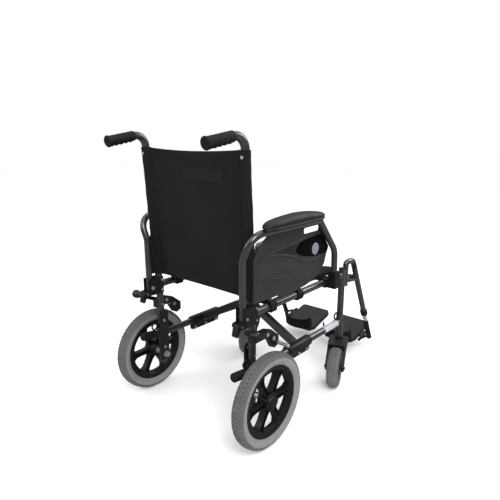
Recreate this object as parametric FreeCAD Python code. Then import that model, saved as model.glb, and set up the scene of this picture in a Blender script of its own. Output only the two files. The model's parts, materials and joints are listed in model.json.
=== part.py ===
import FreeCAD, Part
import math
import os
from FreeCAD import Vector

# Attendant-propelled folding transit wheelchair.
# Frame: millimetres, +Z up, floor at Z = 0, X = 0 the chair's mid-plane (+X the sitter's left),
# the chair faces -Y. Y = 0 is the middle of the overall length.
# Each side piece is built on the right (X negative) and mirrored for the left. Y values below
# are measured from the rear axle; at() moves them into the frame.

os.makedirs("parts", exist_ok=True)

# ---------------------------------------------------------------- driving dimensions
AXLE_Y = 346.62         # rear axle in the chair's frame
INWARD, OUTWARD = Vector(1, 0, 0), Vector(-1, 0, 0)     # as seen from the right side
REARWARD, UP = Vector(0, 1, 0), Vector(0, 0, 1)

TUBE_R, WALL = 12.5, 1.75
BORE_R = TUBE_R - WALL
TIP_R = TUBE_R - 1.5    # tipping lever tube
BACK_X, RAIL_X, LOW_X, FRONT_X = 218.0, 220.0, 221.0, 222.0     # tubes, from the mid-plane
SEAT_Z, LOW_Z = 421.0, 230.5                                    # seat rail and lower rail
FRONT_Y = -522.0        # front upright
BACK_Y = 4.0            # back tube below the seat
BACK_BEND_Z, BACK_TILT = 430.0, 28.5 / 470.0
HANDLE_CORNER_Z, HANDLE_R = 946.0, 38.0
WHEEL_X, WHEEL_R, WHEEL_W = 279.5, 152.5, 46.0
CASTER_R, CASTER_W, TRAIL, CROWN_Z = 76.0, 45.0, 86.0, 165.0
CASTER_TURN_RIGHT, CASTER_TURN_LEFT = 22.0, -24.0   # left is before mirroring: both trail to -X
SEAT_TUBE_X, SEAT_TUBE_Z, SEAT_TUBE_R = 197.0, 447.2, 11.0
ARM_R, ARM_X, ARM_Z = 11.0, 252.0, 670.0        # armrest tube at the pad
LEG_X, LEG_Y = 219.0, 47.0                      # armrest's rear leg
HANGER_R, HANGER_X, HANGER_Y = 11.0, 222.0, -549.0
FOOT_TUBE_R = 8.5

GAP = 0.06              # running clearance on a radius
SNUG = 0.08             # clearance of a bracket round the back tube
RAIL_GAP = 0.5          # clearance of a moulded fitting round the seat rail
STEM_R, HINGE_R = 8.0, 5.0                  # caster stem, hanger hinge pin
AXLE_R, AXLE_BORE_R = 6.0, 6.05
PIN_R, PIN_BORE_R = 4.0, 4.05
BOLT_R, BOLT_BORE_R = 3.0, 3.05
SMALL_R, SMALL_BORE_R = 2.5, 2.55


# ---------------------------------------------------------------- helpers
def at(x, y, z):
    """Point given by its distance behind the rear axle."""
    return Vector(x, y + AXLE_Y, z)


def cyl(base, direction, radius, height):
    return Part.makeCylinder(radius, height, base, direction)


def rod(start, end, radius):
    return cyl(start, end - start, radius, (end - start).Length)


def rod_y(x, z, y0, y1, radius):
    return rod(at(x, y0, z), at(x, y1, z), radius)


def bore_x(x, y, z, radius):
    """Cutter along X, reaching 30 to each side of x."""
    return cyl(at(x - 30, y, z), INWARD, radius, 60)


def box(x0, x1, y0, y1, z0, z1):
    return Part.makeBox(x1 - x0, y1 - y0, z1 - z0, at(x0, y0, z0))


def tube(points, bends, radius):
    """Solid round bar along straight runs, with one bend radius per inner point."""
    edges, here = [], points[0]
    for i in range(1, len(points) - 1):
        corner, bend = points[i], bends[i - 1]
        back = (points[i - 1] - corner).normalize()
        ahead = (points[i + 1] - corner).normalize()
        half_angle = back.getAngle(ahead) / 2
        setback = bend / math.tan(half_angle)
        first, last = corner + back * setback, corner + ahead * setback
        bisector = (back + ahead).normalize()
        middle = corner + bisector * (bend / math.sin(half_angle) - bend)
        if (first - here).Length > 1e-6:
            edges.append(Part.makeLine(here, first))
        edges.append(Part.Arc(first, middle, last).toShape())
        here = last
    edges.append(Part.makeLine(here, points[-1]))
    start = edges[0].valueAt(edges[0].FirstParameter)
    tangent = edges[0].tangentAt(edges[0].FirstParameter)
    ring = Part.Wire([Part.makeCircle(radius, start, tangent)])
    solid = Part.Wire(edges).makePipeShell([ring], True, False)
    return solid if solid.Volume > 0 else solid.reversed()


def prism(points, push):
    """Closed flat outline pushed along a vector."""
    return Part.Face(Part.makePolygon(points + [points[0]])).extrude(push)


def profile_x(outline, x, thickness):
    """(y, z) outline at x, pushed along X."""
    return prism([at(x, y, z) for y, z in outline], Vector(thickness, 0, 0))


def revolve(profile, base, axis, radial):
    """(along, radius) profile turned about the axis through base."""
    points = [base + axis * along + radial * radius for along, radius in profile]
    return Part.Face(Part.makePolygon(points + [points[0]])).revolve(base, axis, 360)


def symmetric(half_profile):
    """Both halves of an (offset from mid-plane, radius) profile."""
    return [(-a, r) for a, r in half_profile] + [(a, r) for a, r in half_profile[::-1]]


def hexagon(base, direction, across_flats, height):
    ref = UP if abs(direction.z) < 0.9 else REARWARD
    side = direction.cross(ref).normalize()
    other = direction.cross(side)
    radius = across_flats / math.sqrt(3)
    points = []
    for i in range(6):
        angle = math.radians(60 * i)
        points.append(base + side * (radius * math.cos(angle)) + other * (radius * math.sin(angle)))
    return prism(points, direction * height)


def round_edges(shape, radius, pick=lambda e: True):
    # guards fillets the kernel refuses or breaks: the shape then keeps its sharp edges
    try:
        out = shape.makeFillet(radius, [e for e in shape.Edges if pick(e)])
        if out.isValid() and out.Volume > 0:
            return out
    except Exception:
        pass
    return shape


def along_x(edge):
    return edge.BoundBox.YLength < 1e-6 and edge.BoundBox.ZLength < 1e-6


def spans(extent, length):
    """Edge selector: extent is "YLength" or "ZLength"."""
    return lambda e: abs(getattr(e.BoundBox, extent) - length) < 1e-6


def loose(*shapes):
    """Separate solids that share one file."""
    return Part.makeCompound([solid for shape in shapes for solid in shape.Solids])


# ================================================================ side frame
def back_y(z):
    """Y of the back tube, which leans rearward above its bend."""
    return BACK_Y + max(0.0, z - BACK_BEND_Z) * BACK_TILT


HANDLE_CORNER = at(-BACK_X, back_y(HANDLE_CORNER_Z), HANDLE_CORNER_Z)
GRIP_END = at(-213.5, 175.0, 922.0)
GRIP_DIR = (GRIP_END - HANDLE_CORNER).normalize()
BACK_LINE = [at(-BACK_X, BACK_Y, 118), at(-BACK_X, BACK_Y, BACK_BEND_Z), HANDLE_CORNER, GRIP_END]
BACK_BENDS = [160.0, HANDLE_R]
TIP_START, TIP_END = at(-BACK_X - 1, BACK_Y, 234), at(-BACK_X - 1.4, 86, 243)
TIP_DIR = (TIP_END - TIP_START).normalize()
FRONT_BOTTOM_Z, FRONT_TOP_Z = 168, 444

LUG_ZS, LUG_T = (430, 372), 8       # hanger hinge lugs, undersides
PLATE_BOLT_ZS = (182.0, 286.0)      # axle plate bolts
ARM_BOLT_ZS = (404.0, 442.0)        # armrest bracket bolts
BRAKE_BOLT_Z = 348.0
FABRIC_SCREW_Z = 882


def side_frame():
    rail = rod_y(-RAIL_X, SEAT_Z, BACK_Y, FRONT_Y, TUBE_R)
    lower = rod_y(-LOW_X, LOW_Z, BACK_Y, FRONT_Y, TUBE_R)
    front_bottom = at(-FRONT_X, FRONT_Y, FRONT_BOTTOM_Z)
    outer = tube(BACK_LINE, BACK_BENDS, TUBE_R).fuse(rail).fuse(lower)
    outer = outer.fuse(rod(front_bottom, at(-FRONT_X, FRONT_Y, FRONT_TOP_Z), TUBE_R))
    outer = outer.fuse(rod(TIP_START, TIP_END, TIP_R))
    # steering head round the caster stem
    outer = outer.fuse(cyl(front_bottom, UP, 15.5, 46))
    for z in LUG_ZS:
        lug = box(-FRONT_X - 8, -FRONT_X + 8, HANGER_Y, FRONT_Y - 4, z, z + LUG_T)
        lug = lug.fuse(cyl(at(-FRONT_X, HANGER_Y, z), UP, 11, LUG_T))
        outer = outer.fuse(lug)

    inner_line = [at(-BACK_X, BACK_Y, 117)] + BACK_LINE[1:-1] + [GRIP_END + GRIP_DIR * 2]
    inner = tube(inner_line, BACK_BENDS, BORE_R)
    inner = inner.fuse(rod_y(-RAIL_X, SEAT_Z, BACK_Y, FRONT_Y, BORE_R))
    inner = inner.fuse(rod_y(-LOW_X, LOW_Z, BACK_Y, FRONT_Y, BORE_R))
    upright_bore = rod(at(-FRONT_X, FRONT_Y, 222), at(-FRONT_X, FRONT_Y, FRONT_TOP_Z - 3), BORE_R)
    inner = inner.fuse(upright_bore)
    inner = inner.fuse(rod(TIP_START, TIP_END + TIP_DIR * 2, TIP_R - WALL))

    frame = outer.cut(inner)
    frame = frame.cut(cyl(at(-FRONT_X, FRONT_Y, FRONT_BOTTOM_Z - 2), UP, STEM_R + GAP, 58))
    for z in LUG_ZS:
        frame = frame.cut(cyl(at(-FRONT_X, HANGER_Y, z - 1), UP, HINGE_R + GAP, LUG_T + 2))
    frame = frame.cut(bore_x(-BACK_X, 0, WHEEL_R, AXLE_BORE_R))
    for z in PLATE_BOLT_ZS + ARM_BOLT_ZS:
        frame = frame.cut(bore_x(-BACK_X, BACK_Y, z, BOLT_BORE_R))
    y = back_y(FABRIC_SCREW_Z)
    frame = frame.cut(rod_y(-BACK_X, FABRIC_SCREW_Z, y + 20, y - 20, SMALL_BORE_R))
    return frame.cut(bore_x(-BACK_X, BACK_Y, BRAKE_BOLT_Z, BOLT_BORE_R))


def grip():
    """Sleeve on the push handle, with finger ridges and a flared end."""
    ridges, ridge_pitch = 5, 18.0
    start = HANDLE_CORNER + GRIP_DIR * (HANDLE_R * 1.11 + 3)
    length = (GRIP_END - start).Length + 4.65
    profile = [(0, 0), (0, 14.8), (4, 15.8)]
    for i in range(ridges):
        a = 10 + i * ridge_pitch
        profile += [(a, 15.8), (a + 6, 17.0), (a + 10, 17.0), (a + 16, 15.8)]
    profile += [(length - 10, 16.4), (length - 6, 18.4), (length - 3.6, 18.4)]
    profile += [(length, 15.0), (length, 0)]
    sleeve = revolve(profile, start, GRIP_DIR, GRIP_DIR.cross(INWARD).normalize())
    core_line = [at(-BACK_X, back_y(860), 860), HANDLE_CORNER, GRIP_END + GRIP_DIR * 0.3]
    return sleeve.cut(tube(core_line, [HANDLE_R], TUBE_R + GAP))


def tip_cap():
    """Cap on the tipping lever."""
    cap = cyl(TIP_END - TIP_DIR * 52, TIP_DIR, 14.4, 57)
    cap = round_edges(cap, 4, lambda e: e.BoundBox.YMin > TIP_END.y)
    return cap.cut(rod(TIP_START, TIP_END + TIP_DIR * 0.4, TIP_R + GAP))


# ================================================================ axle plate and tie-downs
PLATE_T = 4.0
PLATE_X0 = -BACK_X + TUBE_R + 0.05      # on the inner side of the back tube
PLATE_X1 = PLATE_X0 + PLATE_T


def tie_down(tube_x, tube_y, eye_x, eye_z, setback, ring_r, wire_r):
    """Ring behind a tube, on a tab shaped to the tube."""
    ring = Part.makeTorus(ring_r, wire_r, at(eye_x, tube_y + setback, eye_z), INWARD)
    tab = box(eye_x - 4, eye_x + 4, tube_y + 12.0, tube_y + 21.5, eye_z - 8, eye_z + 8)
    return ring.fuse(tab).cut(cyl(at(tube_x, tube_y, 200), UP, TUBE_R + 0.05, 120))


def axle_plate():
    plate = round_edges(box(PLATE_X0, PLATE_X1, -15, 23, 132, 322), 8, along_x)
    holes = [(0, WHEEL_R, AXLE_BORE_R)]
    holes += [(BACK_Y, z, BOLT_BORE_R) for z in PLATE_BOLT_ZS]
    holes += [(10, 308, 4.5), (4, 214, 3.2)]
    for y, z, radius in holes:
        plate = plate.cut(bore_x(PLATE_X0, y, z, radius))
    rear_eye = tie_down(-BACK_X, BACK_Y, -BACK_X - 1, 266, 30.5, 11.0, 3.0)
    front_eye = tie_down(-FRONT_X, FRONT_Y, -FRONT_X, 262, 31.5, 12.0, 3.2)
    return loose(plate, rear_eye, front_eye)


# ================================================================ armrest rear bracket
CHEEK_X = 17.5                              # half width of the bracket
ARM_PIVOT_Z = 420.0
ARM_LEVER_Y, ARM_LEVER_Z = LEG_Y + 21, 401


def arm_bracket():
    """Two cheeks that clasp the back tube and the armrest's rear leg."""
    z0, z1 = 393, 452
    body = box(-LEG_X - CHEEK_X, -LEG_X + CHEEK_X, BACK_Y - 17, LEG_Y + 15, z0, z1)
    body = round_edges(body, 6, spans("ZLength", z1 - z0))
    body = body.cut(cyl(at(-BACK_X, BACK_Y, 380), UP, TUBE_R + SNUG, 100))
    # slot for the leg, then the open front
    body = body.cut(box(-LEG_X - 12.8, -LEG_X + 12.8, LEG_Y - 19, LEG_Y + 40, 380, 460))
    body = body.cut(box(-LEG_X - 40, -LEG_X + 40, BACK_Y - 40, BACK_Y - 6, 380, 460))
    body = body.cut(bore_x(-LEG_X, LEG_Y, ARM_PIVOT_Z, PIN_BORE_R))
    for z in ARM_BOLT_ZS:
        body = body.cut(bore_x(-LEG_X, BACK_Y, z, BOLT_BORE_R))
    body = body.cut(rod_y(-RAIL_X, SEAT_Z, 10, -60, TUBE_R + SNUG))
    body = body.cut(tube(BACK_LINE, BACK_BENDS, TUBE_R + SNUG))
    # ears that carry the release lever
    ear_t = 4.6
    for x in (-LEG_X - CHEEK_X, -LEG_X + 12.9):
        ear = box(x, x + ear_t, LEG_Y + 8, ARM_LEVER_Y, z0, 409)
        ear = ear.fuse(cyl(at(x, ARM_LEVER_Y, ARM_LEVER_Z), INWARD, 8, ear_t))
        body = body.fuse(ear)
    return body.cut(bore_x(-LEG_X, ARM_LEVER_Y, ARM_LEVER_Z, SMALL_BORE_R))


def arm_lever():
    """Release lever between the ears of the bracket."""
    # (y behind the leg, z)
    paddle = [(15, 404), (26, 408), (33, 396), (38, 372), (30, 370), (20, 388)]
    lever = cyl(at(-LEG_X - 12.3, ARM_LEVER_Y, ARM_LEVER_Z), INWARD, 6.5, 24.6)
    lever = lever.fuse(profile_x([(LEG_Y + y, z) for y, z in paddle], -LEG_X - 10, 20))
    lever = lever.cut(bore_x(-LEG_X, ARM_LEVER_Y, ARM_LEVER_Z, SMALL_BORE_R))
    return lever.cut(box(-LEG_X - 20, -LEG_X + 20, LEG_Y - 10, LEG_Y + 12.6, 350, 420))


# ================================================================ brake
BRAKE_T = 5.0                           # bracket plate
BRAKE_X = -BACK_X - TUBE_R - 2.6        # inner face of the bracket plate
LEVER_X = BRAKE_X - 9.3                 # inner faces of the lever and the shoe arm
SHOE_X = BRAKE_X - 5.3
BRAKE_ARM_T = 4.5
LEVER_PIVOT, SHOE_PIVOT = (-36.0, 347.0), (-72.0, 322.0)    # (y, z)
BRAKE_PIN_HOLE_R = 4.06

# (y, z) outlines
BRAKE_PLATE = [(14, 366), (-30, 366), (-66, 352), (-104, 322), (-104, 292), (-84, 284),
               (-60, 296), (-40, 330), (14, 330)]
BRAKE_LEVER = [(-48, 340), (-48, 354), (-38, 358), (-20, 356), (20, 372), (58, 391),
               (66, 388), (66, 379), (58, 376), (22, 358), (-14, 342), (-28, 336)]
SHOE_ARM = [(-60, 322), (-64, 332), (-78, 332), (-98, 312), (-101, 300), (-92, 292),
            (-82, 296), (-68, 312)]
# (along, radius)
KNOB = [(0, 0), (0, 7), (6, 8), (14, 10.5), (24, 14), (33, 15.3), (40, 14), (44.5, 10), (46, 0)]


def brake_bracket():
    """Plate outboard of the back tube, with a saddle bolted to the tube."""
    plate = round_edges(profile_x(BRAKE_PLATE, BRAKE_X, -BRAKE_T), 4, along_x)
    saddle = box(BRAKE_X - BRAKE_T, -BACK_X + 2, BACK_Y - 17, BACK_Y + 17, 334, 362)
    saddle = saddle.cut(cyl(at(-BACK_X, BACK_Y, 300), UP, TUBE_R + SNUG, 100))
    plate = plate.fuse(saddle)
    for (y, z), radius in ((LEVER_PIVOT, PIN_BORE_R), (SHOE_PIVOT, PIN_BORE_R),
                           ((-92, 304), 2.6), ((-52, 326), 3.4),
                           ((BACK_Y, BRAKE_BOLT_Z), BOLT_BORE_R)):
        plate = plate.cut(bore_x(BRAKE_X, y, z, radius))
    return plate


def brake_lever():
    lever = profile_x(BRAKE_LEVER, LEVER_X, -BRAKE_ARM_T)
    return lever.cut(bore_x(LEVER_X, *LEVER_PIVOT, BRAKE_PIN_HOLE_R))


def brake_knob():
    """Knob at the rear end of the lever, pointing outboard."""
    return revolve(KNOB, at(LEVER_X - BRAKE_ARM_T - 0.05, 61, 384.5), OUTWARD, UP)


def brake_shoe():
    """Short arm with the bar that bears on the tread."""
    arm = profile_x(SHOE_ARM, SHOE_X, -BRAKE_ARM_T)
    arm = arm.cut(bore_x(SHOE_X, *SHOE_PIVOT, BRAKE_PIN_HOLE_R))
    bar = cyl(at(SHOE_X - 4.4, -90, 303), OUTWARD, 6.0, 46)
    bar = round_edges(bar, 1.2, lambda e: e.BoundBox.XMax < SHOE_X - 50)
    return arm.fuse(bar)


# ================================================================ fittings on the seat rail
REAR_SADDLE_Y, FRONT_SADDLE_Y, SOCKET_Y = -82, -400, -411.0


def seat_saddle(y):
    """Block round the rail, with an open cup for the seat tube."""
    half, cup_r = 14, SEAT_TUBE_R + 1.0
    body = box(-RAIL_X - 17, -RAIL_X + 17, y - half, y + half, SEAT_Z - 16, SEAT_Z + 16)
    cup = box(-212, -180, y - half, y + half, SEAT_Z + 6, SEAT_TUBE_Z - 3)
    body = round_edges(body, 5, spans("YLength", 2 * half)).fuse(cup)
    body = body.cut(rod_y(-RAIL_X, SEAT_Z, 0, -520, TUBE_R + RAIL_GAP))
    body = body.cut(rod_y(-SEAT_TUBE_X, SEAT_TUBE_Z, 0, -520, cup_r))
    body = body.cut(box(-SEAT_TUBE_X - cup_r, -SEAT_TUBE_X + cup_r, y - 20, y + 20,
                        SEAT_TUBE_Z, SEAT_TUBE_Z + 40))
    return body.cut(box(-SEAT_TUBE_X - 60, -SEAT_TUBE_X - SEAT_TUBE_R - 6, y - 20, y + 20,
                        SEAT_TUBE_Z - 6.0, SEAT_TUBE_Z + 40))


def arm_socket():
    """Cup for the armrest's front end, outboard of the rail and open on top."""
    x0, x1 = -ARM_X - 15.5, -ARM_X + 15.5
    y0, y1, z0 = SOCKET_Y - 17, SOCKET_Y + 17, SEAT_Z - 16
    socket = box(x0, -RAIL_X + 17, y0, y1, z0, SEAT_Z + 16)
    socket = socket.fuse(box(x0, x1, y0, y1, z0, z0 + 60))
    socket = round_edges(socket, 4, spans("ZLength", 60))
    socket = socket.cut(rod_y(-RAIL_X, SEAT_Z, 0, -520, TUBE_R + RAIL_GAP))
    return socket.cut(box(-ARM_X - 12.2, -ARM_X + 12.2, SOCKET_Y - 13.5, SOCKET_Y + 14.5,
                          SEAT_Z - 8, SEAT_Z + 60))


def rail_fittings():
    # the front saddle and the socket overlap on the rail, so they are one block
    front = seat_saddle(FRONT_SADDLE_Y).fuse(arm_socket())
    front = front.cut(rod_y(-RAIL_X, SEAT_Z, 0, -520, TUBE_R + RAIL_GAP))
    return loose(seat_saddle(REAR_SADDLE_Y), front)


# ================================================================ fasteners
def socket_screw(y, z, tip_x, head_x):
    """Screw along X with a domed hex-socket head."""
    head_r, head_h = 5.2, 3.6
    sign = 1 if head_x > tip_x else -1
    top_x = head_x + sign * head_h
    shank = rod(at(tip_x, y, z), at(head_x, y, z), BOLT_R)
    head = cyl(at(head_x, y, z), Vector(sign, 0, 0), head_r, head_h)
    head = round_edges(head, 1.6, lambda e: abs(e.BoundBox.XMin - top_x) < 1e-6
                       and abs(e.BoundBox.XMax - top_x) < 1e-6)
    return shank.fuse(head.cut(hexagon(at(top_x, y, z), Vector(-sign, 0, 0), 4.0, 2.2)))


def fabric_screw():
    """Screw into the back tube from the rear."""
    y, z = back_y(FABRIC_SCREW_Z), FABRIC_SCREW_Z
    head = cyl(at(-BACK_X, y + 14.2, z), REARWARD, 5.0, 2.6)
    head = round_edges(head, 1.2, lambda e: e.BoundBox.YMin > at(0, y + 16, 0).y)
    return rod_y(-BACK_X, z, y - 9, y + 14.2, SMALL_R).fuse(head)


def brake_pin(pivot, reach):
    pin = rod(at(BRAKE_X + 0.5, *pivot), at(BRAKE_X - reach, *pivot), PIN_R)
    pin = pin.fuse(cyl(at(BRAKE_X + 0.02, *pivot), INWARD, 6.5, 3))
    return pin.fuse(cyl(at(BRAKE_X - reach, *pivot), OUTWARD, 6.0, 2.4))


def axle_set():
    """Rear axle bolt headed outside the hub, with its inner nut, washer and spacer."""
    head_x, spacer_x = -WHEEL_X - 20.5, -WHEEL_X + 27.5
    axle = cyl(at(head_x, 0, WHEEL_R), INWARD, AXLE_R, -190 - head_x)
    axle = axle.fuse(cyl(at(head_x - 3, 0, WHEEL_R), INWARD, 9.5, 3.0))
    nut = hexagon(at(PLATE_X1 + 1.0, 0, WHEEL_R), INWARD, 19, 9)
    washer = cyl(at(PLATE_X1 + 0.02, 0, WHEEL_R), INWARD, 12, 0.95)
    spacer_length = -BACK_X - TUBE_R - 0.1 - spacer_x
    spacer = cyl(at(spacer_x, 0, WHEEL_R), INWARD, 10, spacer_length)
    bore = cyl(at(-WHEEL_X, 0, WHEEL_R), INWARD, AXLE_BORE_R, 120)
    return [axle, nut.cut(bore), washer.cut(bore), spacer.cut(bore)]


def fasteners():
    pieces = [socket_screw(BACK_Y, z, -BACK_X - TUBE_R - 3.2, PLATE_X1 + 0.02)
              for z in PLATE_BOLT_ZS]
    pieces.append(fabric_screw())
    cheek_face = -LEG_X + CHEEK_X + 0.02
    for z in ARM_BOLT_ZS:
        pieces.append(socket_screw(BACK_Y, z, -LEG_X - CHEEK_X - 2.5, cheek_face))
    # armrest pivot pin
    pin = rod(at(-LEG_X - 20.5, LEG_Y, ARM_PIVOT_Z), at(cheek_face, LEG_Y, ARM_PIVOT_Z), PIN_R)
    pieces.append(pin.fuse(cyl(at(cheek_face, LEG_Y, ARM_PIVOT_Z), INWARD, 6.5, 3.2)))
    pieces.append(socket_screw(BACK_Y, BRAKE_BOLT_Z, -BACK_X + TUBE_R + 3,
                               BRAKE_X - BRAKE_T - 0.02))
    # the lever's pin has a collar that spaces the lever off the bracket
    collar = cyl(at(BRAKE_X - BRAKE_T - 0.05, *LEVER_PIVOT), OUTWARD, 6.5, 4.1)
    pieces.append(brake_pin(LEVER_PIVOT, 14.0).fuse(collar))
    pieces.append(brake_pin(SHOE_PIVOT, 10.1))
    # armrest release lever pin
    pieces.append(rod(at(-LEG_X - 17.6, ARM_LEVER_Y, ARM_LEVER_Z),
                      at(-LEG_X + 17.6, ARM_LEVER_Y, ARM_LEVER_Z), SMALL_R))
    return loose(*pieces, *axle_set())


# ================================================================ rear wheel
WHEEL_CENTRE = at(-WHEEL_X, 0, WHEEL_R)
BEARING_R = 14.0
# (distance inboard of the wheel's mid-plane, radius)
HUB = [(-18.5, 6.3), (-18.5, 18.5), (-16.5, 19.5), (-16.5, 24), (-18.2, 25), (-18.2, 28),
       (-15.5, 29.5), (-9, 29.5), (9, 29.5), (14, 27.5), (24, 20), (27, 20), (27, 6.3)]
HUB_CAP = [(-21.5, 10.5), (-21.5, 14.5), (-20.5, 16.5), (-18.6, 17.5), (-18.6, 10.5)]
# (radius from the wheel centre, half width of the spoke)
SPOKE = [(24, 13.5), (42, 9.0), (68, 8.0), (84, 11.0), (95, 20.0)]


def rear_tyre():
    half = WHEEL_W / 2
    profile = [(half - 9, 115.6), (half - 7, 116.5), (half - 3.5, 122), (half, 132),
               (half - 1.2, 140), (half - 5, 147), (half - 11, 151), (6, WHEEL_R)]
    return revolve(symmetric(profile), WHEEL_CENTRE, INWARD, UP)


def spoke_prism(angle, edge, other_edge, half_depth):
    """Strip between two edges, each a list of (radius, sideways)."""
    radial = Vector(0, math.sin(angle), math.cos(angle))
    sideways = Vector(0, math.cos(angle), -math.sin(angle))
    base = WHEEL_CENTRE - INWARD * half_depth
    points = [base + radial * a + sideways * b for a, b in edge + other_edge[::-1]]
    return prism(points, INWARD * (2 * half_depth))


def rear_rim():
    """Rim, hub and six spokes, each a web with a rib on both edges."""
    half, rib_t = WHEEL_W / 2, 3.2
    profile = [(5, 91.5), (half - 10.5, 101), (half - 8, 106), (half - 8, 115.5)]
    rim = revolve(symmetric(profile), WHEEL_CENTRE, INWARD, UP)
    rim = rim.fuse(revolve(HUB, WHEEL_CENTRE, INWARD, UP))
    for i in range(6):
        angle = math.radians(60 * i + 30)
        spoke = spoke_prism(angle, SPOKE, [(a, -b) for a, b in SPOKE], 3)
        for sign in (1, -1):
            outer = [(a, sign * b) for a, b in SPOKE]
            inner = [(a, sign * (b - rib_t)) for a, b in SPOKE]
            spoke = spoke.fuse(spoke_prism(angle, outer, inner, 11))
        rim = rim.fuse(spoke)
    # bearing seats, then the bore
    for offset in (-18.6, 18.0):
        rim = rim.cut(cyl(WHEEL_CENTRE + INWARD * offset, INWARD, BEARING_R + 0.05, 9.1))
    return rim.cut(cyl(WHEEL_CENTRE - INWARD * 40, INWARD, 8.0, 80))


def bearing(offset, width):
    ring_t, shield_t, overlap = 3.0, 3.0, 0.02
    start = WHEEL_CENTRE + INWARD * offset

    def ring(base, outer_r, inner_r, length):
        bore = cyl(base - INWARD, INWARD, inner_r, length + 2)
        return cyl(base, INWARD, outer_r, length).cut(bore)

    outer = ring(start, BEARING_R, BEARING_R - ring_t, width)
    inner = ring(start, AXLE_BORE_R + ring_t, AXLE_BORE_R, width)
    shield = ring(start + INWARD * (width / 2 - shield_t / 2), BEARING_R - ring_t + overlap,
                  AXLE_BORE_R + ring_t - overlap, shield_t)
    return outer.fuse(inner).fuse(shield)


def wheel_bearings():
    cap = revolve(HUB_CAP, WHEEL_CENTRE, INWARD, UP)
    return loose(bearing(-18.55, 9.0), bearing(18.05, 8.9), cap)


# ================================================================ front caster
# (distance along the trail from the stem, z)
FORK_LEG = [(-22, 158), (-14, 164.4), (20, 164.4), (38, 159), (62, 134), (88, 104), (100, 84),
            (97, 66), (84, 60), (72, 68), (66, 84), (44, 108), (10, 130), (-14, 136)]
FORK_BRIDGE = [(-22, 158), (-14, 164.4), (20, 164.4), (44, 160), (62, 156.5), (62, 130),
               (20, 96), (0, 104), (-16, 128)]
FORK_LEG_T = 10.0
FORK_LEG_OFFSET = CASTER_W / 2 + 7.5


def caster_fork(stem, trail, across, centre):
    """Fork with its stem, and the caster axle as a separate solid."""
    def slab(outline, start, thickness):
        base = stem + across * start
        return prism([base + trail * a + UP * b for a, b in outline], across * thickness)

    crown = cyl(stem + UP * (CROWN_Z - 22), UP, 19, 21.6)
    legs = [slab(FORK_LEG, sign * FORK_LEG_OFFSET - FORK_LEG_T / 2, FORK_LEG_T)
            for sign in (1, -1)]
    bridge = slab(FORK_BRIDGE, -FORK_LEG_OFFSET, 2 * FORK_LEG_OFFSET)
    fork = crown.fuse(bridge).fuse(legs[0].fuse(legs[1]))
    fork = fork.fuse(cyl(stem + UP * (CROWN_Z - 2), UP, STEM_R, 56))
    fork = fork.cut(cyl(centre - across * 60, across, PIN_BORE_R, 120))
    # room for the tyre
    room_start = centre - across * (CASTER_W / 2 + 1.0)
    fork = fork.cut(cyl(room_start, across, CASTER_R + 2.5, CASTER_W + 2.0))

    reach = FORK_LEG_OFFSET + FORK_LEG_T / 2 + 0.1
    axle = cyl(centre - across * reach, across, PIN_R, 2 * reach)
    for direction in (across, across * -1):
        axle = axle.fuse(hexagon(centre + direction * reach, direction, 11, 4))
    return loose(fork, axle)


def caster_tyre(across, centre):
    half = CASTER_W / 2
    profile = [(half - 5, 47.5), (half - 1.5, 54), (half, 60), (half - 3.5, 69),
               (half - 11, 74.6), (4, CASTER_R)]
    return revolve(symmetric(profile), centre, across, UP)


def caster_rim(trail, across, centre):
    """Rim, hub and five flat spokes."""
    half = CASTER_W / 2
    rim_profile = [(5, 38), (half - 6, 42), (half - 6, 47.4)]
    hub_profile = [(half - 1.0, 4.08), (half - 1.0, 12), (14, 15)]
    rim = revolve(symmetric(rim_profile), centre, across, UP)
    rim = rim.fuse(revolve(symmetric(hub_profile), centre, across, UP))
    for i in range(5):
        angle = math.radians(72 * i + 20)
        radial = trail * math.sin(angle) + UP * math.cos(angle)
        sideways = trail * math.cos(angle) - UP * math.sin(angle)
        outline = [centre + radial * a + sideways * b - across * 5
                   for a, b in ((12, 6), (12, -6), (41, -8), (41, 8))]
        rim = rim.fuse(prism(outline, across * 10))
    return rim


def caster(turn_degrees):
    """Caster on the right side, swivelled from straight behind its stem toward -X."""
    turn = math.radians(turn_degrees)
    trail = Vector(-math.sin(turn), math.cos(turn), 0)
    across = Vector(math.cos(turn), math.sin(turn), 0)
    stem = at(-FRONT_X, FRONT_Y, 0)
    centre = stem + trail * TRAIL + UP * CASTER_R
    return {"caster_fork": caster_fork(stem, trail, across, centre),
            "caster_tyre": caster_tyre(across, centre),
            "caster_rim": caster_rim(trail, across, centre)}


# ================================================================ armrest (flips back)
ARM_LINE = [at(-LEG_X, LEG_Y, 405), at(-LEG_X, LEG_Y, 592), at(-ARM_X, LEG_Y + 3, ARM_Z),
            at(-ARM_X, -300, ARM_Z - 2), at(-ARM_X, SOCKET_Y + 4, 545),
            at(-ARM_X, SOCKET_Y, 437.0)]
ARM_BENDS = [45, 52, 30, 60]
PAD_INNER_X, PAD_OUTER_X, PAD_Z = -235.0, -289.0, ARM_Z + 13
# side view (y, height above the pad's underside)
PAD_SIDE = [(-2, 0), (2, 5), (-6, 12), (-50, 23), (-145, 30), (-225, 23.5), (-280, 13),
            (-302, 5), (-302, 1.5), (-294, 0)]
# top view (x, y)
PAD_TOP = [(-262, 3), (-280, -9), (-288.5, -58), (-288.8, -150), (-287, -242), (-278, -294),
           (-262, -301.5), (-246, -294), (-237, -242), (-235.3, -150), (-235.6, -58), (-244, -9)]
# (y, z)
PANEL = [(24, 459), (24, 588), (14, 606), (-24, 644), (-46, 657), (-90, 658), (-300, 656),
         (-322, 645), (-362, 590), (-384, 562), (-372, 541), (-360, 508), (-332, 479),
         (-287, 461), (-246, 452), (-170, 447), (-60, 447), (-38, 459)]
# hand slot and small low slot: (y0, y1, z0, z1, corner radius)
PANEL_SLOTS = [(-318, -228, 629, 649, 8), (-98, -62, 452, 458, 2.6)]


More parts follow.
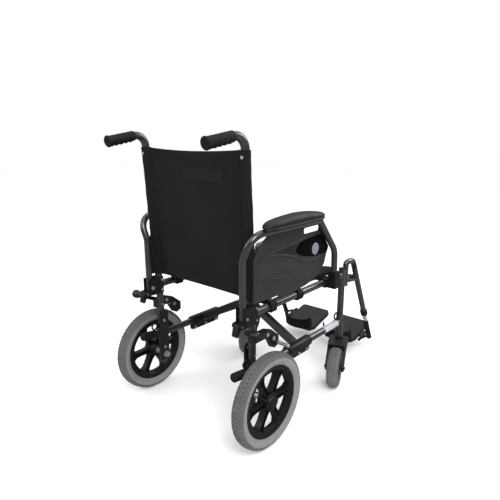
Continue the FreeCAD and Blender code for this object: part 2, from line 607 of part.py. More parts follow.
def arm_tube():
    inner_line = [ARM_LINE[0] - UP * 2] + ARM_LINE[1:-1] + [ARM_LINE[-1] - UP * 2]
    arm = tube(ARM_LINE, ARM_BENDS, ARM_R).cut(tube(inner_line, ARM_BENDS, ARM_R - 1.6))
    # solid plug where the arm turns on its pin
    arm = arm.fuse(cyl(ARM_LINE[0], UP, ARM_R - 0.5, 32))
    arm = arm.cut(bore_x(-LEG_X, LEG_Y, ARM_PIVOT_Z, PIN_BORE_R))
    # two blocks that carry the pad
    for y in (-70, -250):
        arm = arm.fuse(box(-ARM_X - 9, -ARM_X + 9, y - 16, y + 16, ARM_Z + 4, ARM_Z + 12.5))
    return arm


def arm_pad():
    """Domed side view trimmed by the rounded top view."""
    side = profile_x([(y, PAD_Z + z) for y, z in PAD_SIDE], PAD_OUTER_X,
                     PAD_INNER_X - PAD_OUTER_X)
    curve = Part.BSplineCurve()
    curve.interpolate([at(x, y, ARM_Z) for x, y in PAD_TOP], PeriodicFlag=True)
    return side.common(Part.Face(Part.Wire([curve.toShape()])).extrude(UP * 80))


def side_panel():
    """Clothes guard on the inner side of the arm tube."""
    x0, thickness = -ARM_X + ARM_R + 0.3, 4
    panel = round_edges(profile_x(PANEL, x0, thickness), 7, along_x)
    for y0, y1, z0, z1, radius in PANEL_SLOTS:
        slot = box(x0 - 3, x0 + thickness + 3, y0, y1, z0, z1)
        panel = panel.cut(round_edges(slot, radius, along_x))
    return panel


# ================================================================ swing-away footrest hanger
HANGER_TOP_Z = 464.0
LEG_END = at(-224, -724.6, 204.3)
HANGER_LINE = [at(-HANGER_X, HANGER_Y, 438.3), at(-HANGER_X, HANGER_Y, HANGER_TOP_Z),
               at(-223, -601, HANGER_TOP_Z), LEG_END]
LEG_DIR = (LEG_END - HANGER_LINE[2]).normalize()
LATCH_Y, LATCH_Z = HANGER_Y - 34, 400       # pivot of the hanger's release lever


def hanger():
    """Tube curved over and down the leg, with hinge barrel, strut and latch block."""
    # hollow leg for the telescoping footrest tube
    bore = rod(LEG_END - LEG_DIR * 150, LEG_END + LEG_DIR * 3, FOOT_TUBE_R + GAP)
    body = tube(HANGER_LINE, [13, 28], HANGER_R).cut(bore)
    body = body.fuse(cyl(at(-HANGER_X, HANGER_Y, 380.2), UP, 10.5, 49.6))
    body = body.fuse(cyl(at(-HANGER_X, HANGER_Y, 370), UP, HINGE_R, 73))
    strut = rod(at(-HANGER_X, HANGER_Y, 388), LEG_END - LEG_DIR * 190, 6.5)
    body = body.fuse(strut).cut(bore)
    latch = box(-HANGER_X - 9, -HANGER_X + 9, HANGER_Y - 44, HANGER_Y - 4, 392, 408)
    body = body.fuse(round_edges(latch, 3))
    return body.cut(bore_x(-HANGER_X, LATCH_Y, LATCH_Z, BOLT_BORE_R))


def hanger_collar():
    """Clamp collar at the end of the leg."""
    collar = round_edges(cyl(LEG_END - LEG_DIR * 20, LEG_DIR, 14.5, 27), 3)
    collar = collar.cut(rod(LEG_END - LEG_DIR * 60, LEG_END + LEG_DIR * 0.05, HANGER_R + GAP))
    return collar.cut(rod(LEG_END - LEG_DIR * 60, LEG_END + LEG_DIR * 30, FOOT_TUBE_R + GAP))


def hanger_lever():
    """Paddle outboard of the latch block, on a headed pin through it."""
    x0, thickness = -HANGER_X - 16.7, 4.0
    # (y from the hinge, z)
    paddle = [(-28, 398), (-40, 396), (-52, 420), (-56, 446), (-46, 448), (-38, 424)]
    lever = cyl(at(x0, LATCH_Y, LATCH_Z), INWARD, 7, thickness)
    lever = lever.fuse(profile_x([(HANGER_Y + y, z) for y, z in paddle], x0, thickness))
    pin = rod(at(x0, LATCH_Y, LATCH_Z), at(-HANGER_X + 11.0, LATCH_Y, LATCH_Z), BOLT_R)
    return lever.fuse(pin).fuse(cyl(at(-HANGER_X + 9.4, LATCH_Y, LATCH_Z), INWARD, 5.5, 3.0))


# ================================================================ footrest
FOOT_TILT = math.radians(15.0)      # toe end up
FORE = Vector(0, -math.cos(FOOT_TILT), math.sin(FOOT_TILT))
NORMAL = Vector(0, math.sin(FOOT_TILT), math.cos(FOOT_TILT))
HINGE = at(-196.0, -790.0, 76.0)    # middle of the footplate's hinge line
FOOT_TUBE_LENGTH = 146.0            # below the end of the leg
# (x, distance fore of the hinge)
FOOTPLATE = [(-28, -56), (-28, 74), (-38, 86), (-170, 86), (-179, 76), (-179, -40),
             (-170, -64), (-150, -78), (-44, -78)]
FOOTPLATE_MIDDLE = (-104.0, 2.0)
HEEL_LOOP = [(-172, -64), (-168, -84), (-144, -98), (-106, -103), (-70, -98), (-44, -84),
             (-36, -64)]


def foot_point(x, fore, height):
    """Point of the footplate; height is above the hinge line."""
    return Vector(x, HINGE.y, HINGE.z) + FORE * fore + NORMAL * height


def foot_prism(outline, height, thickness):
    return prism([foot_point(x, fore, height) for x, fore in outline], NORMAL * thickness)


def footrest_tube():
    """Sliding tube with its foot block and hinge barrels, plus the hinge pin."""
    end = LEG_END + LEG_DIR * FOOT_TUBE_LENGTH
    body = rod(LEG_END - LEG_DIR * 92, end, FOOT_TUBE_R)
    body = body.fuse(cyl(LEG_END + LEG_DIR * 44, LEG_DIR, 10.5, FOOT_TUBE_LENGTH - 44))
    # barrels fore and aft of the footplate's knuckle, each on an arm
    for start in (22.2, -42.2):
        body = body.fuse(cyl(HINGE + FORE * start, FORE, 6.5, 20))
    for along, setback in ((30, 9), (-30, 12)):
        body = body.fuse(rod(HINGE + FORE * along, end - LEG_DIR * setback, 5.5))
    body = body.cut(cyl(HINGE - FORE * 60, FORE, PIN_BORE_R, 120))
    # keep the main solid only, then make room for the knuckle and the plate to turn
    body = max(body.Solids, key=lambda solid: solid.Volume)
    body = body.cut(cyl(HINGE - FORE * 21.9, FORE, 8.2, 43.8))

    pin = cyl(HINGE - FORE * 42.5, FORE, PIN_R, 85)
    for start in (42.3, -44.8):
        pin = pin.fuse(cyl(HINGE + FORE * start, FORE, 5.5, 2.5))
    return loose(body, pin)


def footplate():
    """Plate with a skirt and ribs below, and a knuckle at its outer edge."""
    middle_x, middle_fore = FOOTPLATE_MIDDLE
    inner = [(middle_x + (x - middle_x) * 0.955, middle_fore + (fore - middle_fore) * 0.95)
             for x, fore in FOOTPLATE]
    skirt = foot_prism(FOOTPLATE, -9.0, 14.5).cut(foot_prism(inner, -10.0, 15.0))
    plate = foot_prism(FOOTPLATE, 5.0, 4.0).fuse(skirt)
    for x in (-70, -112, -154):
        rib = [(x - 1.5, -72), (x + 1.5, -72), (x + 1.5, 72), (x - 1.5, 72)]
        plate = plate.fuse(foot_prism(rib, -6, 11.5))
    tongue = [(HINGE.x, -17.5), (HINGE.x, 17.5), (-174, 17.5), (-174, -17.5)]
    knuckle = cyl(HINGE - FORE * 21.5, FORE, 7.5, 43).fuse(foot_prism(tongue, -4, 10))
    return plate.fuse(knuckle).cut(cyl(HINGE - FORE * 60, FORE, PIN_BORE_R, 120))


def heel_loop():
    """Upright band above the footplate's rear edge."""
    def edge(spread, shift):
        curve = Part.BSplineCurve()
        curve.interpolate([foot_point(x + (106 + x) * spread, fore + shift, 12.0)
                           for x, fore in HEEL_LOOP])
        return curve.toShape()

    rear, front = edge(0.016, -1.0), edge(-0.016, 2.0)
    first = Part.makeLine(rear.valueAt(rear.FirstParameter), front.valueAt(front.FirstParameter))
    last = Part.makeLine(rear.valueAt(rear.LastParameter), front.valueAt(front.LastParameter))
    outline = Part.Wire(Part.__sortEdges__([rear, front, first, last]))
    return Part.Face(outline).extrude(NORMAL * 50)


# ================================================================ cross brace
BAR_T, BAR_H = 20.0, 28.0
BRACE_A_Y, BRACE_B_Y = -204.0, -234.0
BRACE_BOLT_Z, BRACE_BOLT_R = 346.2, 5.0


def brace(side, y, sleeve_y0, sleeve_y1):
    """Folding bar with a sleeve on one lower rail and the opposite seat tube on its top.

    side: +1 puts the lower end at the sitter's left, -1 at the right."""
    low_x, top_x = side * LOW_X, -side * SEAT_TUBE_X
    low, top = at(low_x, y, LOW_Z), at(top_x, y, SEAT_TUBE_Z)
    along = (top - low).normalize()
    half_height = Vector(-along.z, 0, along.x) * BAR_H / 2
    half_width = Vector(0, BAR_T / 2, 0)
    start, end = low + along * 10 - half_width, top - along * 4 - half_width
    bar = prism([start + half_height, start - half_height, end - half_height, end + half_height],
                half_width * 2)
    bar = round_edges(bar, 3, lambda e: e.BoundBox.YLength < 1e-6 and e.Length > 100)
    # sleeve with a flange under the rail
    sleeve = rod_y(low_x, LOW_Z, sleeve_y0, sleeve_y1, 17.5)
    flange = box(low_x - 4.5, low_x + 4.5, sleeve_y0 + 4, sleeve_y1 - 4, LOW_Z - 33, LOW_Z - 10)
    body = bar.fuse(sleeve).fuse(flange)
    body = body.cut(rod_y(low_x, LOW_Z, 60, -560, TUBE_R + 1.2))
    # the bar's head is cropped level below the sling
    body = body.cut(box(-260, 260, y - 30, y + 30, SEAT_TUBE_Z - 5.5, SEAT_TUBE_Z + 60))
    body = body.fuse(rod_y(top_x, SEAT_TUBE_Z, -472, -42, SEAT_TUBE_R))
    body = body.cut(rod_y(top_x, SEAT_TUBE_Z, -480, -30, SEAT_TUBE_R - WALL))
    return body.cut(cyl(at(0, y - 40, BRACE_BOLT_Z), REARWARD, BRACE_BOLT_R + GAP, 80))


def brace_bolt():
    """Centre bolt with its head at the rear and its nut in front."""
    rear, front = BRACE_A_Y + BAR_T / 2, BRACE_B_Y - BAR_T / 2
    bolt = cyl(at(0, front - 1, BRACE_BOLT_Z), REARWARD, BRACE_BOLT_R, rear - front + 2)
    bolt = bolt.fuse(hexagon(at(0, rear + 0.05, BRACE_BOLT_Z), REARWARD, 15, 6.5))
    return bolt.fuse(hexagon(at(0, front - 0.05, BRACE_BOLT_Z), REARWARD * -1, 15, 8))


# ================================================================ slings
def seat_sling():
    half_width = SEAT_TUBE_X - SEAT_TUBE_R - 1.5
    return box(-half_width, half_width, -468, -46, SEAT_TUBE_Z - 1, SEAT_TUBE_Z + 7)


def back_sling():
    """Flat sling between the back tubes, following their lean."""
    z0, z1 = 462.0, 902.0
    half_width = BACK_X - TUBE_R - 2.5
    outline = [(back_y(z0) - 3, z0), (back_y(z0) + 4, z0), (back_y(z1) + 4, z1),
               (back_y(z1) - 3, z1)]
    return profile_x(outline, -half_width, 2 * half_width)


# ================================================================ assembly and export
SIDE_PIECES = (side_frame, grip, tip_cap, axle_plate, arm_bracket, arm_lever, brake_bracket,
               brake_lever, brake_knob, brake_shoe, rail_fittings, fasteners, rear_tyre,
               rear_rim, wheel_bearings, arm_tube, arm_pad, side_panel, hanger, hanger_collar,
               hanger_lever, footrest_tube, footplate, heel_loop)


def mirror(shape):
    return shape.mirror(Vector(0, 0, 0), INWARD)


parts = {}
for build in SIDE_PIECES:
    piece = build()
    parts["right_" + build.__name__] = piece
    parts["left_" + build.__name__] = mirror(piece)
for name, piece in caster(CASTER_TURN_RIGHT).items():
    parts["right_" + name] = piece
for name, piece in caster(CASTER_TURN_LEFT).items():
    parts["left_" + name] = mirror(piece)
parts["cross_bar_a"] = brace(1, BRACE_A_Y, -286.0, -146.0)
parts["cross_bar_b"] = brace(-1, BRACE_B_Y, -299.0, -177.0)
for build in (brace_bolt, seat_sling, back_sling):
    parts[build.__name__] = build()

for name, piece in sorted(parts.items()):
    piece.exportStep("parts/%s.step" % name)
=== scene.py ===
# A folding wheelchair: soft parts, tyres, guards and small fittings added to its CAD frame.
# It stands on z = 0 facing -Y, so its right side is -X and its back is +Y.
# Parts are drawn in mm from the rear axle's Y, on the right side, and mirrored for the left.
import bpy
import bmesh
import json
import math
import numpy as np
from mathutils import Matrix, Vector


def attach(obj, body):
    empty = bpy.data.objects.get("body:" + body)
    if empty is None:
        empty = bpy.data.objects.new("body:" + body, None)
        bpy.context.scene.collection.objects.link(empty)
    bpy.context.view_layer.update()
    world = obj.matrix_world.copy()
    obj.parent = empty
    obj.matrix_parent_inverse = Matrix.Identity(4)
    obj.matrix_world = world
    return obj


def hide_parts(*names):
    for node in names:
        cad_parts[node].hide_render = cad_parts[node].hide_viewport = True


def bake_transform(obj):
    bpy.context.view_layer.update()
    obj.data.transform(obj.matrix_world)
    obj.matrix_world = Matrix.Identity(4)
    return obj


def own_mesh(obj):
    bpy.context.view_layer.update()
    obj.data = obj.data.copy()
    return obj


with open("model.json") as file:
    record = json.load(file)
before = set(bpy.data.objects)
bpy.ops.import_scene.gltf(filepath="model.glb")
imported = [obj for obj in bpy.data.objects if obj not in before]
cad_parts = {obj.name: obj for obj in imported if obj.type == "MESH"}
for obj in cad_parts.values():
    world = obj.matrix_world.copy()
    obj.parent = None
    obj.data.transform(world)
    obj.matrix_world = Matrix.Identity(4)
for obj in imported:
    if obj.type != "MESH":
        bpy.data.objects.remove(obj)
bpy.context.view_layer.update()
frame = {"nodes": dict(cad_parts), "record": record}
nodes = frame["nodes"]
COLLECTION = bpy.context.scene.collection

SIDES = ("right", "left")
AXLE_Y = 346.62              # the rear axle's Y in the frame
AXLE_Z = 152.5
TUBE_R = 12.5                # frame tube radius
BACK_TUBE_X = -218.0
BACK_TUBE_Y = 4.0            # back tube below its bend
BEND_Z = 430.0
BACK_RAKE = 28.5 / 470.0     # the back tube leans rearwards by this slope above its bend
UPRIGHT = (-222.0, -522.0)   # x, y of the front upright
LOW_RAIL_X, LOW_RAIL_Z = 221.0, 230.5
HEM_STITCH = 21.5            # hem stitching, in from a cloth edge


# ------------------------------------------------------------------ shape helpers
def back_y(z):
    """Y of the back tubes' centres at a height."""
    return BACK_TUBE_Y + np.maximum(0.0, np.asarray(z, float) - BEND_Z) * BACK_RAKE


def unit(vector):
    return vector / np.linalg.norm(vector)


def ridge(x, at, width):
    """A bell curve of height 1."""
    return np.exp(-((x - at) / width) ** 2)


def fade(x, at, rate):
    """1 well below `at`, 0 well above it."""
    return 1 / (1 + np.exp((x - at) * rate))


def resample(path, step):
    """Evenly spaced points along a path, about `step` apart."""
    path = np.asarray(path, float)
    lengths = np.linalg.norm(np.diff(path, axis=0), axis=1)
    run = np.concatenate([[0], np.cumsum(lengths)])
    count = max(2, int(round(run[-1] / step)) + 1)
    places = np.linspace(0, run[-1], count)
    return np.stack([np.interp(places, run, column) for column in path.T], 1)


def smooth_path(points, steps):
    """Catmull-Rom curve through the points, with `steps` pieces to a span."""
    points = np.asarray(points, float)
    points = np.vstack([2 * points[0] - points[1], points, 2 * points[-1] - points[-2]])
    curve = []
    for p0, p1, p2, p3 in zip(points, points[1:], points[2:], points[3:]):
        for k in range(steps):
            u = k / steps
            curve.append(0.5 * (2 * p1 + (p2 - p0) * u
                                + (2 * p0 - 5 * p1 + 4 * p2 - p3) * u * u
                                + (3 * p1 - p0 - 3 * p2 + p3) * u ** 3))
    curve.append(points[-2])
    return np.array(curve)


def mirrored(half):
    """A (along, radius) profile followed by its own reflection."""
    return half + [(-along, radius) for along, radius in half[::-1]]


# ------------------------------------------------------------------ mesh helpers
# A shell is (points, faces); a mesh is a shell, or (points, faces, material slots).
def skin(rings, cap=True, loop=False):
    """Skins rings[i, j] (ring i, point j); `loop` joins the last ring to the first."""
    rings = np.asarray(rings, float)
    nu, nv = rings.shape[:2]
    faces = []
    for i in range(nu if loop else nu - 1):
        k = (i + 1) % nu
        for j in range(nv):
            l = (j + 1) % nv
            faces.append((i * nv + j, i * nv + l, k * nv + l, k * nv + j))
    if cap and not loop:
        faces.append(tuple(range(nv - 1, -1, -1)))
        faces.append(tuple((nu - 1) * nv + j for j in range(nv)))
    return rings.reshape(-1, 3), faces


def revolve(profile, centre, axis, ref, seg, extra=None):
    """Turns (along, radius) points round an axis; extra(theta, k) adds to point k's radius."""
    axis = unit(np.array(axis, float))
    ref = np.array(ref, float)
    ref = unit(ref - axis * np.dot(ref, axis))
    third = np.cross(axis, ref)
    theta = np.linspace(0, 2 * math.pi, seg, endpoint=False)
    rings = np.zeros((seg, len(profile), 3))
    for k, (along, radius) in enumerate(profile):
        reach = radius + (extra(theta, k) if extra else 0.0)
        rings[:, k] = (np.array(centre) + axis * along
                       + np.outer(np.cos(theta) * reach, ref)
                       + np.outer(np.sin(theta) * reach, third))
    return skin(rings, loop=True)


def slab(mid, thick):
    """Closed sheet of thickness thick[i, j] about the surface mid[i, j], with rolled edges."""
    normal = np.cross(np.gradient(mid, axis=0), np.gradient(mid, axis=1))
    normal /= np.linalg.norm(normal, axis=2, keepdims=True) + 1e-12
    half = thick[..., None] / 2
    nu, nv = mid.shape[:2]
    count = nu * nv
    faces = []
    for i in range(nu - 1):
        for j in range(nv - 1):
            p, q = i * nv + j, i * nv + j + 1
            r, s = q + nv, p + nv
            faces.append((p, s, r, q))
            faces.append((count + p, count + q, count + r, count + s))
    rim = [(i, 0) for i in range(nu)]
    rim += [(nu - 1, j) for j in range(1, nv)]
    rim += [(i, nv - 1) for i in range(nu - 2, -1, -1)]
    rim += [(0, j) for j in range(nv - 2, 0, -1)]
    edge = []
    for k, here in enumerate(rim):
        tangent = mid[rim[(k + 1) % len(rim)]] - mid[rim[k - 1]]
        out = np.cross(tangent, normal[here])
        out /= np.linalg.norm(out) + 1e-12
        if np.dot(out, mid[here] - mid[nu // 2, nv // 2]) < 0:
            out = -out
        edge.append(mid[here] + out * float(half[here][0]) * 0.9)
    for k, (i, j) in enumerate(rim):
        after = (k + 1) % len(rim)
        p, q = i * nv + j, rim[after][0] * nv + rim[after][1]
        e, f = 2 * count + k, 2 * count + after
        faces.append((p, q, f, e))
        faces.append((count + q, count + p, e, f))
    top, bottom = mid + normal * half, mid - normal * half
    return np.concatenate([top.reshape(-1, 3), bottom.reshape(-1, 3), edge]), faces


def merge(first, second=()):
    """Joins shells into one mesh; those in `second` take the second material."""
    points, faces, slots, count = [], [], [], 0
    for slot, shells in enumerate((first, second)):
        for shell_points, shell_faces in shells:
            points.append(shell_points)
            faces += [tuple(i + count for i in face) for face in shell_faces]
            slots += [slot] * len(shell_faces)
            count += len(shell_points)
    return np.concatenate(points), faces, slots


# a stitch's rings: place along its length, share of its radius, sink as a share of the radius
STITCH_RINGS = ((-0.5, 0.35, 0.5), (-0.3, 1.0, 0.0), (0.3, 1.0, 0.0), (0.5, 0.35, 0.5))
STITCH_LIFT = 0.25


def stitches(path, normal, pitch=4.6, length=3.1, radius=0.42):
    """A row of short thread stitches on a surface; one normal, or one to each stitch end."""
    points = resample(path, pitch)
    normals = np.broadcast_to(np.asarray(normal, float), points.shape)
    shells = []
    for start, end, out in zip(points, points[1:], normals):
        along = unit(end - start)
        centre = (start + end) / 2 + unit(out) * STITCH_LIFT
        across = unit(np.cross(along, out))
        up = np.cross(across, along)
        rings = []
        for place, share, sink in STITCH_RINGS:
            middle = centre + along * length * place - up * radius * sink
            rings.append([middle + (across * math.cos(t) + up * math.sin(t)) * radius * share
                          for t in np.linspace(0, 2 * math.pi, 6, endpoint=False)])
        shells.append(skin(rings))
    return merge(shells)[:2]


def put(name, mesh, mats, side="right", body=None, folds=False, soft=False, replaces=None,
        slot=None, smooth=35.0, recalc=True):
    """Makes an object from a right-side mesh in mm; side "left" mirrors it.

    mats names one material or two. slot is not used.
    """
    mats = (mats,) if isinstance(mats, str) else mats
    points = np.array(mesh[0], float)
    points[:, 1] += AXLE_Y
    if side == "left":
        points[:, 0] *= -1
    data = bpy.data.meshes.new(name)
    data.from_pydata((points / 1000.0).tolist(), [], mesh[1])
    if len(mats) > 1:
        data.polygons.foreach_set("material_index", np.array(mesh[2], np.int32))
    if recalc or side == "left":
        bm = bmesh.new()
        bm.from_mesh(data)
        bmesh.ops.recalc_face_normals(bm, faces=bm.faces)
        bm.to_mesh(data)
        bm.free()
    data.polygons.foreach_set("use_smooth", np.ones(len(data.polygons), bool))
    data.set_sharp_from_angle(angle=math.radians(smooth))
    data.update()
    obj = bpy.data.objects.new(name, data)
    COLLECTION.objects.link(obj)
    for mat in mats:
        data.materials.append(MAT[mat])
    if body:
        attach(obj, body)
    if folds:
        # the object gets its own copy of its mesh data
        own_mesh(obj)
    if soft:
        subsurf = obj.modifiers.new("soft", "SUBSURF")
        subsurf.levels = subsurf.render_levels = 1
    if replaces:
        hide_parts(replaces)
    return obj


# ------------------------------------------------------------------ shader helpers
def add(tree, kind, inputs={}, **settings):
    """Adds a node; an input given as a socket is linked, any other is set as a value."""
    node = tree.nodes.new("ShaderNode" + kind)
    for key, value in settings.items():
        setattr(node, key, value)
    for key, value in inputs.items():
        if isinstance(value, bpy.types.NodeSocket):
            tree.links.new(value, node.inputs[key])
        else:
            node.inputs[key].default_value = value
    return node


def remap(tree, source, from_range=(0.0, 1.0), to_range=(0.0, 1.0)):
    return add(tree, "MapRange", {0: source, "From Min": from_range[0],
                                  "From Max": from_range[1], "To Min": to_range[0],
                                  "To Max": to_range[1]}).outputs[0]


def math_node(tree, operation, a, b):
    return add(tree, "Math", {0: a, 1: b}, operation=operation).outputs[0]


def grey(tree, value):
    return add(tree, "CombineColor", {0: value, 1: value, 2: value}).outputs[0]


def mix(tree, factor, a, b, blend="MIX"):
    """Mixes colours a and b."""
    inputs = {0: factor, 6: a, 7: b}
    return add(tree, "Mix", inputs, data_type="RGBA", blend_type=blend).outputs[2]


# ------------------------------------------------------------------ materials
MAT = {}
NOISE_MID = (0.3, 0.7)       # the band of noise values that carries the variation
ROUGH_VAR = 0.12             # roughness varies by this share
DUST_COLOUR = (0.42, 0.4, 0.37, 1)


def material(name, base, rough, metal=0.0, spec=0.5, coat=0.0, sheen=0.0,
             var=0.12, var_scale=18.0, kind="noise", weave=("X", "Z"),
             bump=0.1, bump_scale=900.0, bump_depth=0.0004,
             wear=0.0, wear_colour=(0.1, 0.1, 0.1), dust=0.0):
    """var is the share the tone varies by; wear pales the edges and dust the patches.

    kind is the micro relief: "noise", "weave" (threads along two axes, with painted shade in
    the gaps between them) or "grain".
    """
    mat = bpy.data.materials.new(name)
    mat.use_nodes = True
    tree = mat.node_tree
    tree.nodes.clear()
    output = add(tree, "OutputMaterial")
    shader = add(tree, "BsdfPrincipled", {"Metallic": metal, "Specular IOR Level": spec})
    tree.links.new(shader.outputs[0], output.inputs[0])
    coords = add(tree, "TexCoord").outputs["Object"]

    def noise(scale, detail):
        inputs = {"Vector": coords, "Scale": scale, "Detail": detail}
        return add(tree, "TexNoise", inputs).outputs[0]

    if coat:
        shader.inputs["Coat Weight"].default_value = coat
        shader.inputs["Coat Roughness"].default_value = 0.12
    if sheen:
        shader.inputs["Sheen Weight"].default_value = sheen
        shader.inputs["Sheen Roughness"].default_value = 0.45
        shader.inputs["Sheen Tint"].default_value = (0.8, 0.8, 0.85, 1)

    patches = noise(scale=var_scale, detail=5)
    tone = remap(tree, patches, NOISE_MID, to_range=(1.0 - var, 1.0 + var))
    colour = mix(tree, 1.0, (*base, 1), grey(tree, tone), blend="MULTIPLY")

    if kind == "weave":
        along, across = [
            add(tree, "TexWave", {"Vector": coords, "Scale": bump_scale, "Distortion": 0.35,
                                  "Detail": 1.0, "Detail Scale": 0.4},
                wave_type="BANDS", bands_direction=axis).outputs["Fac"] for axis in weave]
        either = math_node(tree, "MAXIMUM", along, across)
        both = math_node(tree, "MULTIPLY", along, across)
        height = math_node(tree, "SUBTRACT", either, both)
        # painted shade: the gaps between threads are painted darker than the thread crowns
        weave_gap_shade = remap(tree, height, to_range=(0.72, 1.28))
        colour = mix(tree, 1.0, colour, grey(tree, weave_gap_shade), blend="MULTIPLY")
    elif kind == "grain":
        cells = add(tree, "TexVoronoi", {"Vector": coords, "Scale": bump_scale},
                    feature="DISTANCE_TO_EDGE")
        height = remap(tree, cells.outputs["Distance"], from_range=(0.0, 0.12))
    else:
        height = noise(scale=bump_scale, detail=3)

    if wear:
        edges = add(tree, "NewGeometry").outputs["Pointiness"]
        edges = remap(tree, edges, from_range=(0.53, 0.64), to_range=(0.0, wear))
        worn = math_node(tree, "MULTIPLY", edges, noise(scale=60, detail=6))
        colour = mix(tree, worn, colour, (*wear_colour, 1))
    if dust:
        dusty = remap(tree, noise(scale=9, detail=8), from_range=(0.5, 0.75),
                      to_range=(0.0, dust))
        colour = mix(tree, dusty, colour, DUST_COLOUR)
    tree.links.new(colour, shader.inputs["Base Color"])

    rough_range = (max(0.03, rough * (1 - ROUGH_VAR)), min(1.0, rough * (1 + ROUGH_VAR)))
    tree.links.new(remap(tree, patches, NOISE_MID, rough_range), shader.inputs["Roughness"])
    relief = add(tree, "Bump", {"Strength": bump, "Distance": bump_depth, "Height": height})
    tree.links.new(relief.outputs[0], shader.inputs["Normal"])
    MAT[name] = mat


def two_tone(name, low, start, end, axis):
    """Material `low` that turns to plated steel between two places (m) along an axis."""
    mat = MAT[low].copy()
    mat.name = name
    tree = mat.node_tree
    output = next(n for n in tree.nodes if n.type == "OUTPUT_MATERIAL")
    plain = next(n for n in tree.nodes if n.type == "BSDF_PRINCIPLED")
    plated = add(tree, "BsdfPrincipled", {"Base Color": (0.6, 0.6, 0.6, 1), "Metallic": 0.7,
                                          "Roughness": 0.2})
    speckle = add(tree, "TexNoise", {"Scale": 300}).outputs[0]
    tree.links.new(remap(tree, speckle, to_range=(0.14, 0.3)), plated.inputs["Roughness"])
    coords = add(tree, "TexCoord").outputs["Object"]
    place = add(tree, "SeparateXYZ", {0: coords}).outputs[axis]
    if axis != "Z":
        place = add(tree, "Math", {0: place}, operation="ABSOLUTE").outputs[0]
    factor = remap(tree, place, from_range=(start, end))
    both = add(tree, "MixShader", {0: factor, 1: plain.outputs[0], 2: plated.outputs[0]})
    tree.links.new(both.outputs[0], output.inputs[0])
    MAT[name] = mat


NYLON = dict(base=(0.0084, 0.0074, 0.0077), rough=0.62, spec=0.12, sheen=0.012, var=0.14,
             var_scale=9, kind="weave", bump=0.6, bump_scale=330)

material("frame_paint", (0.016, 0.0148, 0.0145), rough=0.3, spec=0.6, coat=0.7, var=0.1,
         var_scale=40, bump=0.12, bump_scale=1400, bump_depth=0.0002, wear=0.1,
         wear_colour=(0.14, 0.13, 0.125))
material("black_steel", (0.007, 0.007, 0.0075), rough=0.42, metal=0.1, spec=0.28, coat=0.05,
         bump=0.15, bump_scale=1500, bump_depth=0.0002, wear=0.12)
material("zinc_steel", (0.38, 0.38, 0.375), rough=0.4, metal=0.7, var=0.14, var_scale=90,
         bump_scale=1200)
material("silver_steel", (0.62, 0.62, 0.62), rough=0.25, metal=0.7, var=0.06, var_scale=60,
         bump=0.05)
material("bearing_steel", (0.14, 0.14, 0.15), rough=0.4, metal=0.8, bump=0.05)
material("black_plastic", (0.0055, 0.0055, 0.006), rough=0.5, spec=0.22, var=0.15, bump=0.25,
         bump_scale=1700, bump_depth=0.0002, wear=0.05, wear_colour=(0.06, 0.06, 0.06))
material("fork_plastic", (0.0065, 0.0065, 0.007), rough=0.4, spec=0.28, bump=0.2,
         bump_scale=1500, bump_depth=0.0002, wear=0.06, wear_colour=(0.06, 0.06, 0.06))
material("panel_plastic", (0.019, 0.018, 0.0195), rough=0.44, spec=0.32, bump=0.25,
         bump_scale=1600, bump_depth=0.0002)
material("plate_plastic", (0.0145, 0.0142, 0.0145), rough=0.5, spec=0.22, bump=0.3,
         bump_scale=1300, bump_depth=0.0003, dust=0.02)
material("rim_black", (0.0045, 0.0045, 0.005), rough=0.44, spec=0.26, bump=0.2,
         bump_scale=1500, bump_depth=0.0002, wear=0.05, wear_colour=(0.07, 0.07, 0.07))
material("gloss_knob", (0.004, 0.004, 0.0045), rough=0.38, spec=0.35, coat=0.06, bump=0.05)
material("black_rubber", (0.0055, 0.0055, 0.0055), rough=0.62, spec=0.18, bump=0.35,
         bump_scale=1300, bump_depth=0.0003, dust=0.01)
material("tyre_grey", (0.098, 0.093, 0.097), rough=0.78, spec=0.25, var=0.1, var_scale=25,
         bump=0.35, bump_scale=1100, bump_depth=0.0003, dust=0.1)
material("arm_pad_foam", (0.0095, 0.0092, 0.0095), rough=0.48, spec=0.28, var=0.1,
         kind="grain", bump=0.3, bump_scale=1100, bump_depth=0.00025)
material("sling_nylon", weave=("X", "Z"), **NYLON)
material("webbing", (0.0055, 0.0055, 0.0055), rough=0.75, spec=0.14, sheen=0.03,
         kind="weave", bump=0.7, bump_scale=260, bump_depth=0.0005)
material("seat_nylon", weave=("X", "Y"), **NYLON)
material("thread", (0.009, 0.009, 0.0095), rough=0.7, spec=0.2, sheen=0.06, bump=0.3,
         bump_scale=2500, bump_depth=0.0001)
material("patch", (0.0062, 0.0058, 0.0062), rough=0.5, spec=0.2, sheen=0.03, kind="weave",
         bump=0.4, bump_scale=600, bump_depth=0.0002)
material("inlay", (0.0014, 0.0014, 0.002), rough=0.12, spec=0.03, bump=0.02)
# painted shade: a darker plate colour standing in for the shade of a recess in the panel
material("facet", (0.0095, 0.0092, 0.0125), rough=0.4, spec=0.25, bump=0.2, bump_scale=1600,
         bump_depth=0.0002)
material("label", (0.42, 0.41, 0.45), rough=0.4, spec=0.4, bump=0.05)
material("badge", (0.22, 0.22, 0.3), rough=0.35, metal=0.3, bump=0.05)
material("tyre_wall", (0.19, 0.186, 0.189), rough=0.8, spec=0.22, var=0.08, var_scale=25,
         bump=0.25, bump_scale=1100, bump_depth=0.0003, dust=0.12)
two_tone("footrest_mix", "black_plastic", start=0.1655, end=0.1665, axis="Z")
two_tone("shoe_mix", "black_steel", start=0.2462, end=0.2468, axis="X")


